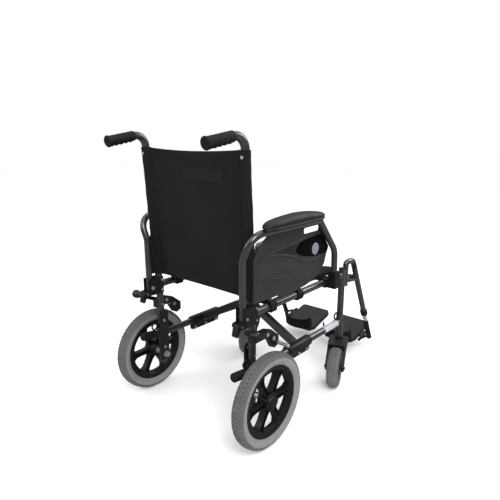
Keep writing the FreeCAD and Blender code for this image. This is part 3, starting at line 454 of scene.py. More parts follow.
def dress_frame():
    """Gives each CAD piece its material, welds it and splits its sharp edges."""
    slot_of = {part["node"]: part["material_slot"] for part in frame["record"]["subparts"]}
    for name, obj in nodes.items():
        if name.endswith("footrest_tube"):
            mat = "footrest_mix"
        elif name.endswith("brake_shoe"):
            mat = "shoe_mix"
        else:
            mat = slot_of[name]
        obj.data.materials.clear()
        obj.data.materials.append(MAT[mat])
        weld = obj.modifiers.new("weld", "WELD")
        weld.merge_threshold = 0.00001
        split = obj.modifiers.new("edges", "EDGE_SPLIT")
        split.split_angle = math.radians(32)


# ------------------------------------------------------------------ back sling
BACK_LOW, BACK_HIGH = 466.0, 900.0   # heights of the panel's lower and upper edges
SEAM = 200.0                         # half width, out to the seams at the sleeves
BACK_GRID = ((121, 131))
BACK_CLOTH = 2.2                     # thickness
BACK_STITCHES_APART = 2.7            # rear thread row to front thread row


def bow(x):
    """1 on the centre line, 0 at the seams."""
    return 1 - (x / SEAM) ** 2


def back_top(x):
    return BACK_HIGH - 7.0 * bow(x)


def back_bottom(x):
    return BACK_LOW + 4.0 * bow(x)


def back_surface(x, z):
    """Y of the panel's mid-surface: slack, with soft creases fanning from the upper corners."""
    u = x / SEAM
    v = (z - BACK_LOW) / (BACK_HIGH - BACK_LOW)
    slack = bow(x)
    y = back_y(z) - 2.0
    y = y + 7.0 * slack * (0.55 + 0.45 * np.sin(math.pi * v))
    y = y + 1.6 * slack * np.sin(6.0 * v + 1.1 * u + 0.6) * (0.5 + 0.5 * v)
    for s in (-1, 1):
        from_corner = (u * s + 1.0) * 1.2 + (1 - v) * 0.9
        off_crease = (1 - v) * 1.1 - (u * s + 1) * 0.75
        y = y + (1.5 * ridge(off_crease, 0.0, 0.09) * np.clip(from_corner * 1.5, 0, 1)
                 * np.exp(-from_corner))
        y = y + 1.1 * ridge(off_crease, 0.27, 0.07) * np.exp(-from_corner * 1.3)
    return y + 1.2 * slack * ridge(v, 0.13 + 0.05 * np.sin(3 * u), 0.05)


def on_back(x, z, off=0.0):
    """Points `off` behind the panel's mid-surface."""
    return np.stack([x, back_surface(x, z) + off, z], -1)


def build_back_panel():
    x, w = np.meshgrid(np.linspace(-SEAM, SEAM, BACK_GRID[0]),
                       np.linspace(0, 1, BACK_GRID[1]), indexing="ij")
    z = back_bottom(x) + (back_top(x) - back_bottom(x)) * w
    # doubled hems top and bottom, a seam allowance at each side, a dip along the stitching
    from_seam = SEAM - np.abs(x)
    thick = BACK_CLOTH + 1.3 * fade(from_seam, 13, 1.6) - 0.8 * ridge(from_seam, 11.5, 1.2)
    for from_edge in (back_top(x) - z, z - back_bottom(x)):
        thick += 1.5 * fade(from_edge, 24, 1.6) - 0.9 * ridge(from_edge, 22.0, 1.3)

    xs = np.linspace(-SEAM + 6, SEAM - 6, 90)
    zs = np.linspace(BACK_LOW + 4, BACK_HIGH - 4, 90)
    rows = [on_back(xs, back_top(xs) - HEM_STITCH, 1.25),
            on_back(xs, back_top(xs) - 4.5, 1.75),
            on_back(xs, back_bottom(xs) + HEM_STITCH, 1.25)]
    for s in (-1, 1):
        rows.append(on_back(np.full(90, s * (SEAM - 11.5)), zs, 1.25))
        rows.append(on_back(np.full(90, s * (SEAM - 6.5)), zs, 1.6))
    threads = []
    for row in rows:
        threads.append(stitches(row, (0, 1, 0)))
        threads.append(stitches(row - (0, BACK_STITCHES_APART, 0), (0, -1, 0)))
    put("back_sling_panel", merge([slab(on_back(x, z), thick)], threads),
        ("sling_nylon", "thread"), body="right_frame", folds=True, replaces="back_sling",
        smooth=50, recalc=False)


def build_back_patch():
    """Plain patch sewn to the panel's rear face."""
    xs = np.linspace(-130, 40, 41)
    zs = np.linspace(803, 843, 11)
    x, z = np.meshgrid(xs, zs, indexing="ij")
    low, high = zs[0] + 3, zs[-1] - 3
    outline = [(x_, low) for x_ in xs[1:-1]] + [(xs[-2], z_) for z_ in zs[1:-1]]
    outline += [(x_, high) for x_ in xs[-2:0:-1]] + [(xs[1], z_) for z_ in zs[-2:0:-1]]
    outline += [(xs[1], low)]
    path = on_back(*np.array(outline, float).T, off=2.6)
    thread = stitches(path, (0, 1, 0), pitch=3.2, length=2.1, radius=0.32)
    cloth = slab(on_back(x, z, 1.9), np.full(x.shape, 1.2))
    put("back_patch", merge([cloth], [thread]), ("patch", "thread"), body="right_frame",
        folds=True, slot="sling_nylon", recalc=False)


SLEEVE_Z = np.linspace(BACK_LOW - 2, BACK_HIGH + 2, 80)
SLEEVE_BORE = 12.75


def round_tube(z, radius, start, end, count):
    """Arc of points round the back tube, between two angles in degrees."""
    y = float(back_y(z))
    return [(BACK_TUBE_X + radius * math.cos(a), y + radius * math.sin(a), z)
            for a in np.linspace(math.radians(start), math.radians(end), count)]


def web(tip, end):
    """Cloth drawn from its tip at the seam out towards the tube's side."""
    return [(tip[0] + (end[0] - tip[0]) * k, tip[1] + (end[1] - tip[1]) * k ** 0.8, tip[2])
            for k in np.linspace(0, 0.93, 10)]


def sleeve_ring(z):
    """From the panel's rear face round the tube's outer side to its front face."""
    from_end = min(z - SLEEVE_Z[0], SLEEVE_Z[-1] - z)
    radius = (14.6 + 0.9 * fade(from_end, 20, 1.2) + 0.35 * math.sin(z * 0.045)
              + 0.25 * math.sin(z * 0.11 + 1.3))
    panel_y = float(back_surface(-SEAM, z))
    tip_x = -SEAM + 2.5
    arc = round_tube(z, radius, 62, 298, 36)
    rear = web((tip_x, panel_y + 1.9, z), arc[0])
    front = web((tip_x, panel_y - 1.9, z), arc[-1])
    return rear + arc + front[::-1]


def sleeve_shell():
    """Sleeve with an outer skin, an inner one at the bore, and both ends closed."""
    outer = np.array([sleeve_ring(z) for z in SLEEVE_Z])
    centres = np.array([(BACK_TUBE_X, float(back_y(z)), z) for z in SLEEVE_Z])[:, None]
    reach = outer - centres
    length = np.linalg.norm(reach, axis=2, keepdims=True)
    inner = centres + reach * (np.minimum(length, SLEEVE_BORE) / length)
    points, faces = skin(outer, cap=False)
    inner_points, inner_faces = skin(inner, cap=False)
    count, per_ring = len(points), outer.shape[1]
    faces += [tuple(count + i for i in face[::-1]) for face in inner_faces]
    faces += [(j, (j + 1) % per_ring, count + (j + 1) % per_ring, count + j)
              for j in range(per_ring)]
    last = count - per_ring
    faces += [(last + (j + 1) % per_ring, last + j, count + last + j,
               count + last + (j + 1) % per_ring) for j in range(per_ring)]
    return np.concatenate([points, inner_points]), faces


def sleeve_stitches():
    """A row of stitches round each end of the sleeve."""
    rows = []
    for z in (SLEEVE_Z[0] + 21, SLEEVE_Z[-1] - 21):
        arc = round_tube(z, 15.0, 66, 294, 40)
        outward = resample(arc, 4.6) - (BACK_TUBE_X, float(back_y(z)), z)
        rows.append(stitches(arc, outward, pitch=4.6))
    return merge(rows)


def build_back_sleeves():
    sleeve, thread = sleeve_shell(), sleeve_stitches()
    for side in SIDES:
        put(side + "_back_sleeve", sleeve, "sling_nylon", side, body=side + "_frame",
            smooth=60)
        put(side + "_sleeve_thread", thread, "thread", side, body=side + "_frame",
            slot="sling_nylon", recalc=False)


# ------------------------------------------------------------------ seat sling
SEAT_TUBE_X, SEAT_TUBE_Z, SEAT_TUBE_R = 197.0, 447.2, 11.0
SEAT_FRONT, SEAT_REAR = -470.0, -44.0
SEAT_SPAN = SEAT_TUBE_X - 2      # half width of the free cloth
SEAT_GRID = ((141, 101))


def seat_z(x, y):
    """Height of the sheet between the tubes: sagging, rippled, creased at front and rear."""
    u = np.clip(np.abs(x) / SEAT_SPAN, 0, 1)
    w = np.clip((y - SEAT_FRONT - 2) / (SEAT_REAR - SEAT_FRONT - 4), 0, 1)
    slack = 1 - u ** 2
    z = SEAT_TUBE_Z + SEAT_TUBE_R + 1.2 - 13.5 * (1 - u ** 2.2)
    z = z - 1.5 * np.sin(math.pi * w) * slack
    z = z + 0.9 * np.sin(x * 0.045 + 2.2 * w) * np.sin(math.pi * w) * (1 - u ** 4)
    z = z + 0.8 * ridge(w, 0.1 + 0.03 * np.cos(x * 0.03), 0.03) * slack
    return z + 0.8 * ridge(w, 0.88 - 0.03 * np.cos(x * 0.02 + 1), 0.035) * slack


def seat_wrap(tube_x, start, end):
    """(x, z) points round a seat tube, between two angles in degrees."""
    radius = SEAT_TUBE_R + 1.6
    return [(tube_x + radius * math.cos(a), SEAT_TUBE_Z + radius * math.sin(a))
            for a in np.linspace(math.radians(start), math.radians(end), 22)]


def build_seat():
    ys = np.linspace(SEAT_FRONT, SEAT_REAR, SEAT_GRID[1])
    # the section runs from under the right tube, over it, across and round the left tube
    section = [(x, z + 0 * ys) for x, z in seat_wrap(-SEAT_TUBE_X, 250, 100)]
    section += [(x, seat_z(x, ys)) for x in np.linspace(-SEAT_SPAN, SEAT_SPAN, SEAT_GRID[0])]
    section += [(x, z + 0 * ys) for x, z in seat_wrap(SEAT_TUBE_X, 80, -70)]
    mid = np.array([np.stack([np.full(len(ys), x), ys, z], 1) for x, z in section])
    from_edge = np.minimum(mid[..., 1] - ys[0], ys[-1] - mid[..., 1])
    thick = 2.4 + 1.4 * fade(from_edge, 24, 1.4) - 0.8 * ridge(from_edge, 22, 1.6)

    threads = []
    row_y = np.linspace(SEAT_FRONT + 6, SEAT_REAR - 6, 90)
    for s in (-1, 1):
        for inset in (17.5, 23):
            row_x = np.full(90, s * (SEAT_TUBE_X - inset))
            row = np.stack([row_x, row_y, seat_z(row_x, row_y) + 1.25], 1)
            threads.append(stitches(row, (0, 0, 1)))
            threads.append(stitches(row - (0, 0, 2.6), (0, 0, -1)))
    row_x = np.linspace(-SEAT_TUBE_X + 16, SEAT_TUBE_X - 16, 90)
    for y in (SEAT_FRONT + HEM_STITCH, SEAT_REAR - HEM_STITCH):
        row = np.stack([row_x, np.full(90, y), seat_z(row_x, y) + 1.3], 1)
        threads.append(stitches(row, (0, 0, 1)))
    seat = put("seat_sling_sheet", merge([slab(mid, thick)], threads),
               ("seat_nylon", "thread"), replaces="seat_sling", slot="sling_nylon",
               smooth=55, recalc=False)
    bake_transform(seat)


# (along, radius)
SEAT_SCREW = [(0, 0.01), (0, 3.6), (0.8, 3.5), (1.6, 2.8), (2.1, 1.6), (2.2, 0.01)]


def build_seat_screws():
    """Six small round-head screws under each seat tube, on its outer side."""
    screws = merge([revolve(SEAT_SCREW, (-SEAT_TUBE_X - 8.6, y, SEAT_TUBE_Z - 10.4),
                            axis=(-0.64, 0, -0.77), ref=(0, 1, 0), seg=18)
                    for y in np.linspace(-440, -74, 6)])
    for side, brace in zip(SIDES, ("cross_brace_a", "cross_brace_b")):
        put(side + "_seat_screws", screws, "black_steel", side, body=brace)


# ------------------------------------------------------------------ arm pads
PAD_X, PAD_BASE_Z = -262, 674.5
PAD_MID_Y, PAD_HALF_LENGTH = -149.5, 151.5
PAD_HALF_WIDTH = 26.6
PAD_BAND = 12.5              # height of the moulded base
PAD_RECESS_Z = 684.2         # roof of the channel under the pad
# y, crown height over the base
PAD_CROWN = np.array([
    (2, 5.0), (-6, 8.5), (-20, 12.5), (-51, 16.5), (-95, 20.0), (-145, 22.0), (-195, 20.0),
    (-227, 17.0), (-260, 12.5), (-284, 9.5), (-300, 6.5)])


def pad_ring(y):
    """Section of the pad: a soft crown over the base, drawn in at the moulding line."""
    w = (y - PAD_MID_Y) / PAD_HALF_LENGTH
    plan = max(1e-6, 1 - abs(w) ** 6.0) ** 0.4
    half = PAD_HALF_WIDTH * plan * (1.0 - 0.04 * max(0.0, w))
    full = min(1.0, plan * 1.5)
    crown = 4.0 + float(np.interp(-y, -PAD_CROWN[:, 0], PAD_CROWN[:, 1]))
    crown *= 0.25 + 0.75 * min(1, plan * 1.1)
    band = PAD_BAND * (0.55 + 0.45 * full)
    ring = []
    for t in np.linspace(0, 2 * math.pi, 128, endpoint=False):
        c, s = math.cos(t), math.sin(t)
        pinch = math.exp(-(s / 0.13) ** 2) * full
        if s >= 0:
            x = (half - 2.6 * pinch) * math.copysign(abs(c) ** 0.74, c)
            z = PAD_BASE_Z + band + crown * abs(s) ** 0.88
        else:
            x = (half - 0.3 - 2.3 * pinch) * math.copysign(abs(c) ** 0.32, c)
            z = PAD_BASE_Z + band - (band - 0.2) * abs(s) ** 0.5
            if -3.0 < x < 23.0:
                z = max(z, PAD_RECESS_Z)
        ring.append((PAD_X + x, y, z))
    return ring


def build_arm_pads():
    ys = PAD_MID_Y + PAD_HALF_LENGTH * np.cos(np.linspace(0, math.pi, 64))
    pad = skin([pad_ring(y) for y in ys])
    for side in SIDES:
        put(side + "_arm_cushion", pad, "arm_pad_foam", side, body=side + "_armrest",
            soft=True, replaces=side + "_arm_pad", smooth=60)


# ------------------------------------------------------------------ grips
CORNER_Z = 946.0                                    # where back tube and handle axes meet
CORNER = np.array([BACK_TUBE_X, float(back_y(CORNER_Z)), CORNER_Z])
HANDLE_END = np.array([-213.5, 175.0, 922.0])
GRIP_AXIS = unit(HANDLE_END - CORNER)
GRIP_START = CORNER + GRIP_AXIS * 45.18
GRIP_LENGTH = np.linalg.norm(HANDLE_END - GRIP_START) + 4.65
GRIP_UP = unit(np.cross((1, 0, 0), GRIP_AXIS))
GRIP_SIDE = np.cross(GRIP_AXIS, GRIP_UP)
GRIP_BORE = 12.62
GRIP_END_R = 14.2            # radius of the sleeve's inner end
FINGER_PITCH = 18.0


def grip_radius(along):
    """Rounded start, slow taper, then a collar with a rounded lip at the free end."""
    to_end = GRIP_LENGTH - along
    if along <= 5:
        return GRIP_END_R + 1.6 * math.sqrt(max(0.0, 1 - (1 - along / 5) ** 2))
    if to_end > 11:
        return 15.8 + 0.6 * (along / GRIP_LENGTH)
    if to_end > 3.4:
        q = (11 - to_end) / 7.6
        return 16.4 + 2.0 * (3 * q * q - 2 * q ** 3)
    q = (3.4 - to_end) / 3.4
    return 15.6 + 2.8 * math.sqrt(max(0.0, 1 - q * q))


def grip_ring(along):
    """Finger scallops underneath and fine grooves on the flanks, fading at both ends."""
    live = (min(1.0, max(0.0, (along - 6) / 6))
            * min(1.0, max(0.0, (GRIP_LENGTH - along - 11) / 5)))
    scallop = 2.9 * (0.5 - 0.5 * math.cos(2 * math.pi * (along - 8) / FINGER_PITCH)) - 1.0
    ring = []
    for t in np.linspace(0, 2 * math.pi, 72, endpoint=False):
        under = max(0.0, -math.cos(t)) ** 0.6
        grooved = under < 0.05 and int(along) % 3 == 0 and abs(math.cos(t)) < 0.8
        radius = grip_radius(along) + live * (scallop * under - (0.35 if grooved else 0.0))
        ring.append(GRIP_START + GRIP_AXIS * along
                    + (GRIP_UP * math.cos(t) + GRIP_SIDE * math.sin(t)) * radius)
    return ring


def build_grips():
    stations = np.concatenate([np.linspace(0, 5, 6), np.linspace(6, GRIP_LENGTH - 13, 74),
                               np.linspace(GRIP_LENGTH - 12, GRIP_LENGTH, 16)])
    rings = np.array([grip_ring(along) for along in stations])
    bore = GRIP_START + (rings[0] - GRIP_START) * (GRIP_BORE / GRIP_END_R)
    end = GRIP_START + GRIP_AXIS * GRIP_LENGTH
    spokes = rings[-1] - end
    spokes /= np.linalg.norm(spokes, axis=1, keepdims=True)
    # shallow dish in the free end: radius, depth
    dish = [end + spokes * radius - GRIP_AXIS * depth
            for radius, depth in ((13.0, 0.0), (12.0, 1.2), (4.2, 1.3), (3.4, 3.0))]
    grip = skin(np.concatenate([[bore], rings, dish]))
    for side in SIDES:
        put(side + "_hand_grip", grip, "black_rubber", side, body=side + "_frame",
            replaces=side + "_grip", smooth=40)


# ------------------------------------------------------------------ footplate heel loops
PLATE_TILT = math.radians(15)
PLATE_FORWARD = np.array([0, -math.cos(PLATE_TILT), math.sin(PLATE_TILT)])
PLATE_UP = np.array([0, math.sin(PLATE_TILT), math.cos(PLATE_TILT)])
PLATE_ORIGIN = np.array([0.0, -790.0, 76.0])
# x, place forward along the plate
HEEL_LOOP = smooth_path([(-172, -64), (-168, -84), (-144, -98), (-106, -103), (-70, -98),
                         (-44, -84), (-36, -64)], 14)


def on_plate(x, forward, above):
    return np.array([x, 0, 0]) + PLATE_ORIGIN + PLATE_FORWARD * forward + PLATE_UP * above


def build_heel_straps():
    """Webbing loops standing on edge behind the heels, sewn along both edges."""
    last = len(HEEL_LOOP) - 1
    heights = np.linspace(12.5, 61.5, 15)
    mid = np.array([
        [on_plate(x, forward + 0.5 + 1.2 * math.sin(i * 0.09) * math.sin((h - 12) * 0.06),
                  h - 1.6 * math.sin(math.pi * i / last)) for h in heights]
        for i, (x, forward) in enumerate(HEEL_LOOP)])
    from_edge = np.minimum(heights - heights[0], heights[-1] - heights)
    thick = 2.0 + 0.7 * ridge(from_edge, 0, 2.5) - 0.5 * ridge(from_edge, 5, 1.2)
    thick = np.broadcast_to(thick, mid.shape[:2])
    threads = []
    for h in (17.5, 56.5):
        path = np.array([on_plate(x, forward - 0.9, h - 1.6 * math.sin(math.pi * i / last))
                         for i, (x, forward) in enumerate(HEEL_LOOP)])
        outward = np.cross(PLATE_UP, np.gradient(path, axis=0))
        count = len(resample(path, 4.2))
        outward = np.stack([np.interp(np.linspace(0, 1, count),
                                      np.linspace(0, 1, len(path)), column)
                            for column in outward.T], 1)
        threads.append(stitches(path, outward, pitch=4.2, length=2.8, radius=0.4))
    strap = merge([slab(mid, thick)], threads)
    for side in SIDES:
        put(side + "_heel_strap", strap, ("webbing", "thread"), side,
            body=side + "_foot_plate", replaces=side + "_heel_loop", smooth=50, recalc=False)


# ------------------------------------------------------------------ tyres
# (across, radius), from the inside edge out over the sidewall to the middle of the tread
TYRE = mirrored([
    (-14.5, 115.8), (-16.8, 117.5), (-19.4, 122), (-21.6, 127), (-22.1, 128.2),
    (-22.6, 129), (-23, 133), (-22.4, 138), (-20.6, 142.5), (-20, 143.0), (-18, 146.6),
    (-15, 149.2), (-12, 150.8), (-11.4, 150.9), (-8.2, 151.6), (-4.2, 152.3),
    (-3.6, 152.3), (-1.0, 152.45)])
TREAD_R, WALL_R = 143.2, 138.4   # the tread starts at one, the pale sidewall ends at the other
CENTRE_ROW, MIDDLE_ROW = 4.0, 11.7   # half widths of the rows of blocks
BLOCKS = 66                          # blocks round the tyre
TREAD_DEPTH = 3.0
CASTER = mirrored([
    (-16.5, 47.6), (-18.3, 49), (-20.7, 54), (-21.9, 57.5), (-22.5, 61), (-21.8, 65.0),
    (-19.9, 68.4), (-19.3, 68.8), (-16.5, 71.6), (-12.5, 74.2), (-9.5, 75.2), (-7.0, 75.6),
    (-6.4, 75.0), (-5.2, 75.0), (-4.6, 75.7), (-1, 76.0)])
CASTER_R = 76.0
CASTER_TRAIL = 86
CASTER_TURN = {"right": 22, "left": -24}   # degrees, each in right-side axes


def tread(theta, k):
    """Gaps between the blocks; the rows and the two halves are staggered."""
    across, radius = TYRE[k]
    if radius < TREAD_R:
        return 0.0
    row = 0 if abs(across) < CENTRE_ROW else (1 if abs(across) < MIDDLE_ROW else 2)
    phase = (theta * BLOCKS / (2 * math.pi) + (0.5 if row == 1 else 0.0)
             + (0.0 if across < 0 else 0.25)) % 1.0
    gap = (phase < (0.34 if row else 0.26)).astype(float)
    return -TREAD_DEPTH * gap * (1.0 if row else 0.6)


def rear_tyre():
    points, faces = revolve(TYRE, (-279.5, 0, AXLE_Z), axis=(1, 0, 0), ref=(0, 0, 1),
                            seg=BLOCKS * 8, extra=tread)
    count = len(TYRE)
    slots = [int(max(TYRE[f[0] % count][1], TYRE[(f[0] + 1) % count][1]) < WALL_R)
             for f in faces]
    return points, faces, slots


def caster_tyre(side):
    turn = math.radians(CASTER_TURN[side])
    trail = np.array([-math.sin(turn), math.cos(turn), 0]) * CASTER_TRAIL
    return revolve(CASTER, trail + (*UPRIGHT, CASTER_R),
                   axis=(math.cos(turn), math.sin(turn), 0), ref=(0, 0, 1), seg=144)


def build_tyres():
    tyre = rear_tyre()
    for side in SIDES:
        put(side + "_tyre_tread", tyre, ("tyre_grey", "tyre_wall"), side,
            body=side + "_rear_wheel", replaces=side + "_rear_tyre", smooth=34)
        put(side + "_caster_tread", caster_tyre(side), "tyre_grey", side,
            body=side + "_caster_wheel", replaces=side + "_caster_tyre", smooth=34)


# ------------------------------------------------------------------ clothes guards
# faces of the moulded panel: x, outward direction, name
GUARD_FACES = ((-240.7, -1, "out"), (-236.7, 1, "in"))
# All outlines on the guard are (y, z).
# upper, middle and lower guides for the flowing ribs, rear to front
FLOW = np.array((
    [(19, 569), (-6, 568), (-63, 563), (-151, 544), (-215, 525), (-270, 514), (-287, 513),
     (-318, 521)],
    [(19, 554), (-6, 551), (-63, 540), (-152, 517), (-233, 495), (-271, 490), (-288, 492),
     (-316, 503)],
    [(19, 529), (-6, 526), (-63, 518), (-153, 497), (-234, 477), (-272, 474), (-286, 478),
     (-308, 490)]), float)
FLOW_RIBS = 10
REAR_BEAD = [(20, 463), (20, 586), (10, 604), (-26, 640), (-48, 653), (-92, 654),
             (-214, 654)]
FRONT_BEAD = [(-367, 540), (-356, 510), (-329, 482), (-286, 465), (-246, 456), (-170, 451),
              (-62, 451)]
TOP_LOOP = [(-308, 625), (-238, 625), (-225, 630), (-224, 648), (-238, 653), (-308, 653),
            (-321, 648), (-322, 631), (-308, 625)]
UPPER_SHOULDER = [(-30, 594), (-104, 602), (-177, 609), (-208, 614), (-250, 620)]
LOWER_SHOULDER = [(-34, 591), (-75, 588), (-120, 580), (-181, 562), (-225, 541),
                  (-258, 534), (-292, 533), (-325, 535), (-352, 540)]
# outline of the thin dark plate of painted shade, where the real panel is recessed
SHADE_PLATE = [(-52, 594), (-104, 599), (-150, 604), (-184, 606), (-192, 590), (-186, 570),
         (-150, 573), (-112, 583), (-52, 594)]
INLAY = [(-185, 588), (-199, 601), (-228, 610), (-278, 614), (-324, 614), (-351, 594),
         (-374, 566), (-364, 545), (-317, 544), (-272, 547), (-220, 559), (-190, 574),
         (-185, 588)]
# share of the outline, height off the face
SHADE_PLATE_LEVELS = ((0.05, 0.35), (0.6, 0.4), (0.96, 0.45), (1.0, 0.1), (1.0, -0.4))
INLAY_LEVELS = ((0.05, 2.3), (0.4, 2.25), (0.75, 2.05), (0.93, 1.6), (0.985, 0.9),
                (1.0, 0.3), (1.0, -0.4))
# (along, radius)
DISC = [(-0.5, 0.01), (-0.5, 20.4), (2.7, 20.4), (3.3, 19.8), (3.5, 18.4), (3.1, 17.2),
        (3.1, 9), (3.15, 0.01)]


def flow_path(k):
    """The k-th flowing rib: falling to the front and turned up at its end."""
    u = k / (FLOW_RIBS - 1) * 2
    above, below, share = (FLOW[0], FLOW[1], u) if u <= 1 else (FLOW[1], FLOW[2], u - 1)
    return smooth_path(above * (1 - share) + below * share, 10)


def relief(path, width, height, count, face_x, out):
    """A raised rounded rib on the panel's face, with `count` points across it."""
    points = resample(path, 5.0)
    tangent = np.gradient(points, axis=0)
    tangent /= np.linalg.norm(tangent, axis=1, keepdims=True)
    total = len(points)
    rings = []
    for i, (centre, (ty, tz)) in enumerate(zip(points, tangent)):
        taper = min(1.0, 12.0 * i / total + 0.1, 5.0 * (total - 1 - i) / total + 0.06)
        reach = np.array([-tz, ty]) * (width / 2 * taper)
        ring = [(face_x + out * height * taper * math.sin(a), *(centre + reach * math.cos(a)))
                for a in np.linspace(0, math.pi, count)]
        ring.append((face_x - out * 0.6, *(centre - reach)))
        ring.append((face_x - out * 0.6, *(centre + reach)))
        rings.append(ring)
    return skin(rings)


def guard_ribs():
    # path, width, height, points across
    ribs = [(flow_path(k), 4.6, 1.3, 9) for k in range(FLOW_RIBS)]
    ribs += [(REAR_BEAD, 3.2, 1.0, 7), (FRONT_BEAD, 3.2, 1.0, 7),
             (smooth_path(TOP_LOOP, 6), 3.0, 1.0, 7),
             (smooth_path(UPPER_SHOULDER, 8), 9.0, 2.4, 11),
             (smooth_path(LOWER_SHOULDER, 8), 9.0, 2.4, 11)]
    return merge([relief(*rib, face_x, out) for face_x, out, _ in GUARD_FACES
                  for rib in ribs])


def raised_plate(outline, steps, centre, levels, face_x, out):
    """A low plate on the panel's face, stepped out from its centre by `levels`."""
    curve = smooth_path(outline, steps)[:-1]
    centre = np.array(centre)
    return skin([[(face_x + out * height, *(centre + (point - centre) * share))
                  for point in curve] for share, height in levels])


def build_guards():
    """Ribs, a thin dark plate of painted shade where the real panel is recessed, an eye-shaped
    gloss inlay and a plain disc on both faces.
    """
    ribs = guard_ribs()
    for side in SIDES:
        place = dict(side=side, body=side + "_armrest")
        put(side + "_guard_ribs", ribs, "panel_plastic", smooth=40, **place)
        for x, out, tag in GUARD_FACES:
            # painted shade: a thin dark plate in place of the recess's shade
            facet = raised_plate(SHADE_PLATE, 6, (-150.0, 590.0), SHADE_PLATE_LEVELS, x, out)
            put(f"{side}_guard_facet_{tag}", facet, "facet", slot="panel_plastic",
                smooth=50, **place)
        for x, out, tag in GUARD_FACES:
            inlay = raised_plate(INLAY, 8, (-280.0, 580.0), INLAY_LEVELS, x, out)
            put(f"{side}_guard_inlay_{tag}", inlay, "inlay", slot="gloss_knob", smooth=50,
                **place)
            disc = revolve(DISC, (x, -295, 570), axis=(out, 0, 0), ref=(0, 0, 1), seg=60)
            put(f"{side}_guard_disc_{tag}", disc, "badge", slot="panel_plastic", smooth=30,
                **place)


# ------------------------------------------------------------------ small fittings
# All (along, radius).
# two-lipped clip ring on the seat rail
CLIP_RING = [(-12, 12.7), (-12, 17.6), (-10.6, 19.8), (-6.6, 20.2), (-4.6, 18.4),
             (-3.4, 17.2), (3.4, 17.2), (4.6, 18.4), (6.6, 20.2), (10.6, 19.8), (12, 17.6),
             (12, 12.7)]
# plug in the top of the front upright
CAP_PLUG = [(-1.5, 0.01), (-1.5, 12.3), (0.1, 12.6), (0.15, 13.2), (2.2, 13.2), (4.4, 11.4),
            (5.2, 8), (5.4, 0.01)]
# plain pale label wrapped round the front of the lower rail
LABEL = [(0, TUBE_R + 0.12), (0, TUBE_R + 0.42), (0.5, TUBE_R + 0.5), (93.5, TUBE_R + 0.5),
         (94, TUBE_R + 0.42), (94, TUBE_R + 0.12)]
# domed cap over the axle's outer end
HUB_CAP = [(0.0, 10.6), (0.0, 16.6), (-1.0, 17.4), (-4.4, 17.4), (-6.0, 16.0),
           (-6.8, 12.0), (-7.1, 5.0), (-7.1, 0.01), (-5.7, 0.01), (-5.7, 10.6)]


def build_fittings():
    ring = revolve(CLIP_RING, (-220.0, -229.0, 421.0), axis=(0, 1, 0), ref=(0, 0, 1), seg=48)
    plug = revolve(CAP_PLUG, (*UPRIGHT, 444.0), axis=(0, 0, 1), ref=(0, 1, 0), seg=40)
    clips = merge([ring, plug])
    label = revolve(LABEL, (-LOW_RAIL_X, -496.0, LOW_RAIL_Z), axis=(0, 1, 0),
                    ref=(0, 0, 1), seg=64)
    cap = revolve(HUB_CAP, (-298.1, 0.0, AXLE_Z), axis=(1, 0, 0), ref=(0, 0, 1), seg=48)
    for side in SIDES:
        put(side + "_rail_clips", clips, "black_plastic", side, body=side + "_frame")
        put(side + "_blank_label", label, "label", side, body=side + "_frame",
            slot="silver_steel", smooth=40)
        put(side + "_hub_cap", cap, "black_plastic", side, body=side + "_rear_wheel")


# ------------------------------------------------------------------ saddles on the lower rails
SADDLE_R, SADDLE_SHEET = 19.3, 1.6
LUG_X = 6.6                  # outer face of each lug below the rail
LUG_INNER_X = 4.7
LUG_TOP_Z = -20              # below this, from the rail's centre, the sheet runs straight
# (along, radius)
SADDLE_BOLT = [(-0.4, 0.01), (-0.4, 6.2), (0.9, 6.2), (1.0, 5.2), (3.6, 5.0), (4.6, 3.8),
               (4.7, 0.01)]


def saddle_ring():
    """Section of the sheet as (x, z) from the rail's centre: outer face, then inner."""
    outer = [(LUG_X, -35.0), (LUG_X, -22.5), (9.5, -18.0)]
    outer += [(SADDLE_R * math.cos(a), SADDLE_R * math.sin(a))
              for a in np.linspace(math.radians(-38), math.radians(218), 30)]
    outer += [(-9.5, -18.0), (-LUG_X, -22.5), (-LUG_X, -35.0)]
    inner = []
    for x, z in outer:
        if z > LUG_TOP_Z:
            shrink = SADDLE_SHEET / math.hypot(x, z)
            inner.append((x - x * shrink, z - z * shrink))
        else:
            inner.append((math.copysign(LUG_INNER_X, x), z))
    return outer + inner[::-1]


def saddle(y0, y1, rail_x):
    """Pressed sheet saddle over the lower rail, bolted together below it."""
    ring = saddle_ring()
    rings = [[(rail_x + x * share, y, LOW_RAIL_Z + z * (share if z > LUG_TOP_Z else 1))
              for x, z in ring]
             for y, share in ((y0, 0.985), (y0 + 0.8, 1.0), (y1 - 0.8, 1.0), (y1, 0.985))]
    points, faces = skin(rings, cap=False)
    count = len(ring)
    for base, step in ((0, -1), (3 * count, 1)):
        for j in range(count // 2 - 1):
            quad = (base + j, base + j + 1, base + count - 2 - j, base + count - 1 - j)
            faces.append(quad[::step])
    bolts = [revolve(SADDLE_BOLT, (rail_x + s * LUG_X, y, LOW_RAIL_Z - 28.5),
                     axis=(s, 0, 0), ref=(0, 0, 1), seg=24)
             for y in np.linspace(y0 + 16, y1 - 16, 3) for s in (-1, 1)]
    return merge([(points, faces)], bolts)


def build_saddles():
    for name, y0, y1, rail_x, body in (
            ("rail_saddle_a", -287.5, -144.5, LOW_RAIL_X, "cross_brace_a"),
            ("rail_saddle_b", -300.5, -175.5, -LOW_RAIL_X, "cross_brace_b")):
        put(name, saddle(y0, y1, rail_x), ("black_steel", "zinc_steel"), body=body)


# ------------------------------------------------------------------ stage, lights, camera (m)
WHITE = (1.0, 1.0, 1.0, 1)
FLOOR_REFLECTED = (0.22, 0.22, 0.22, 1)


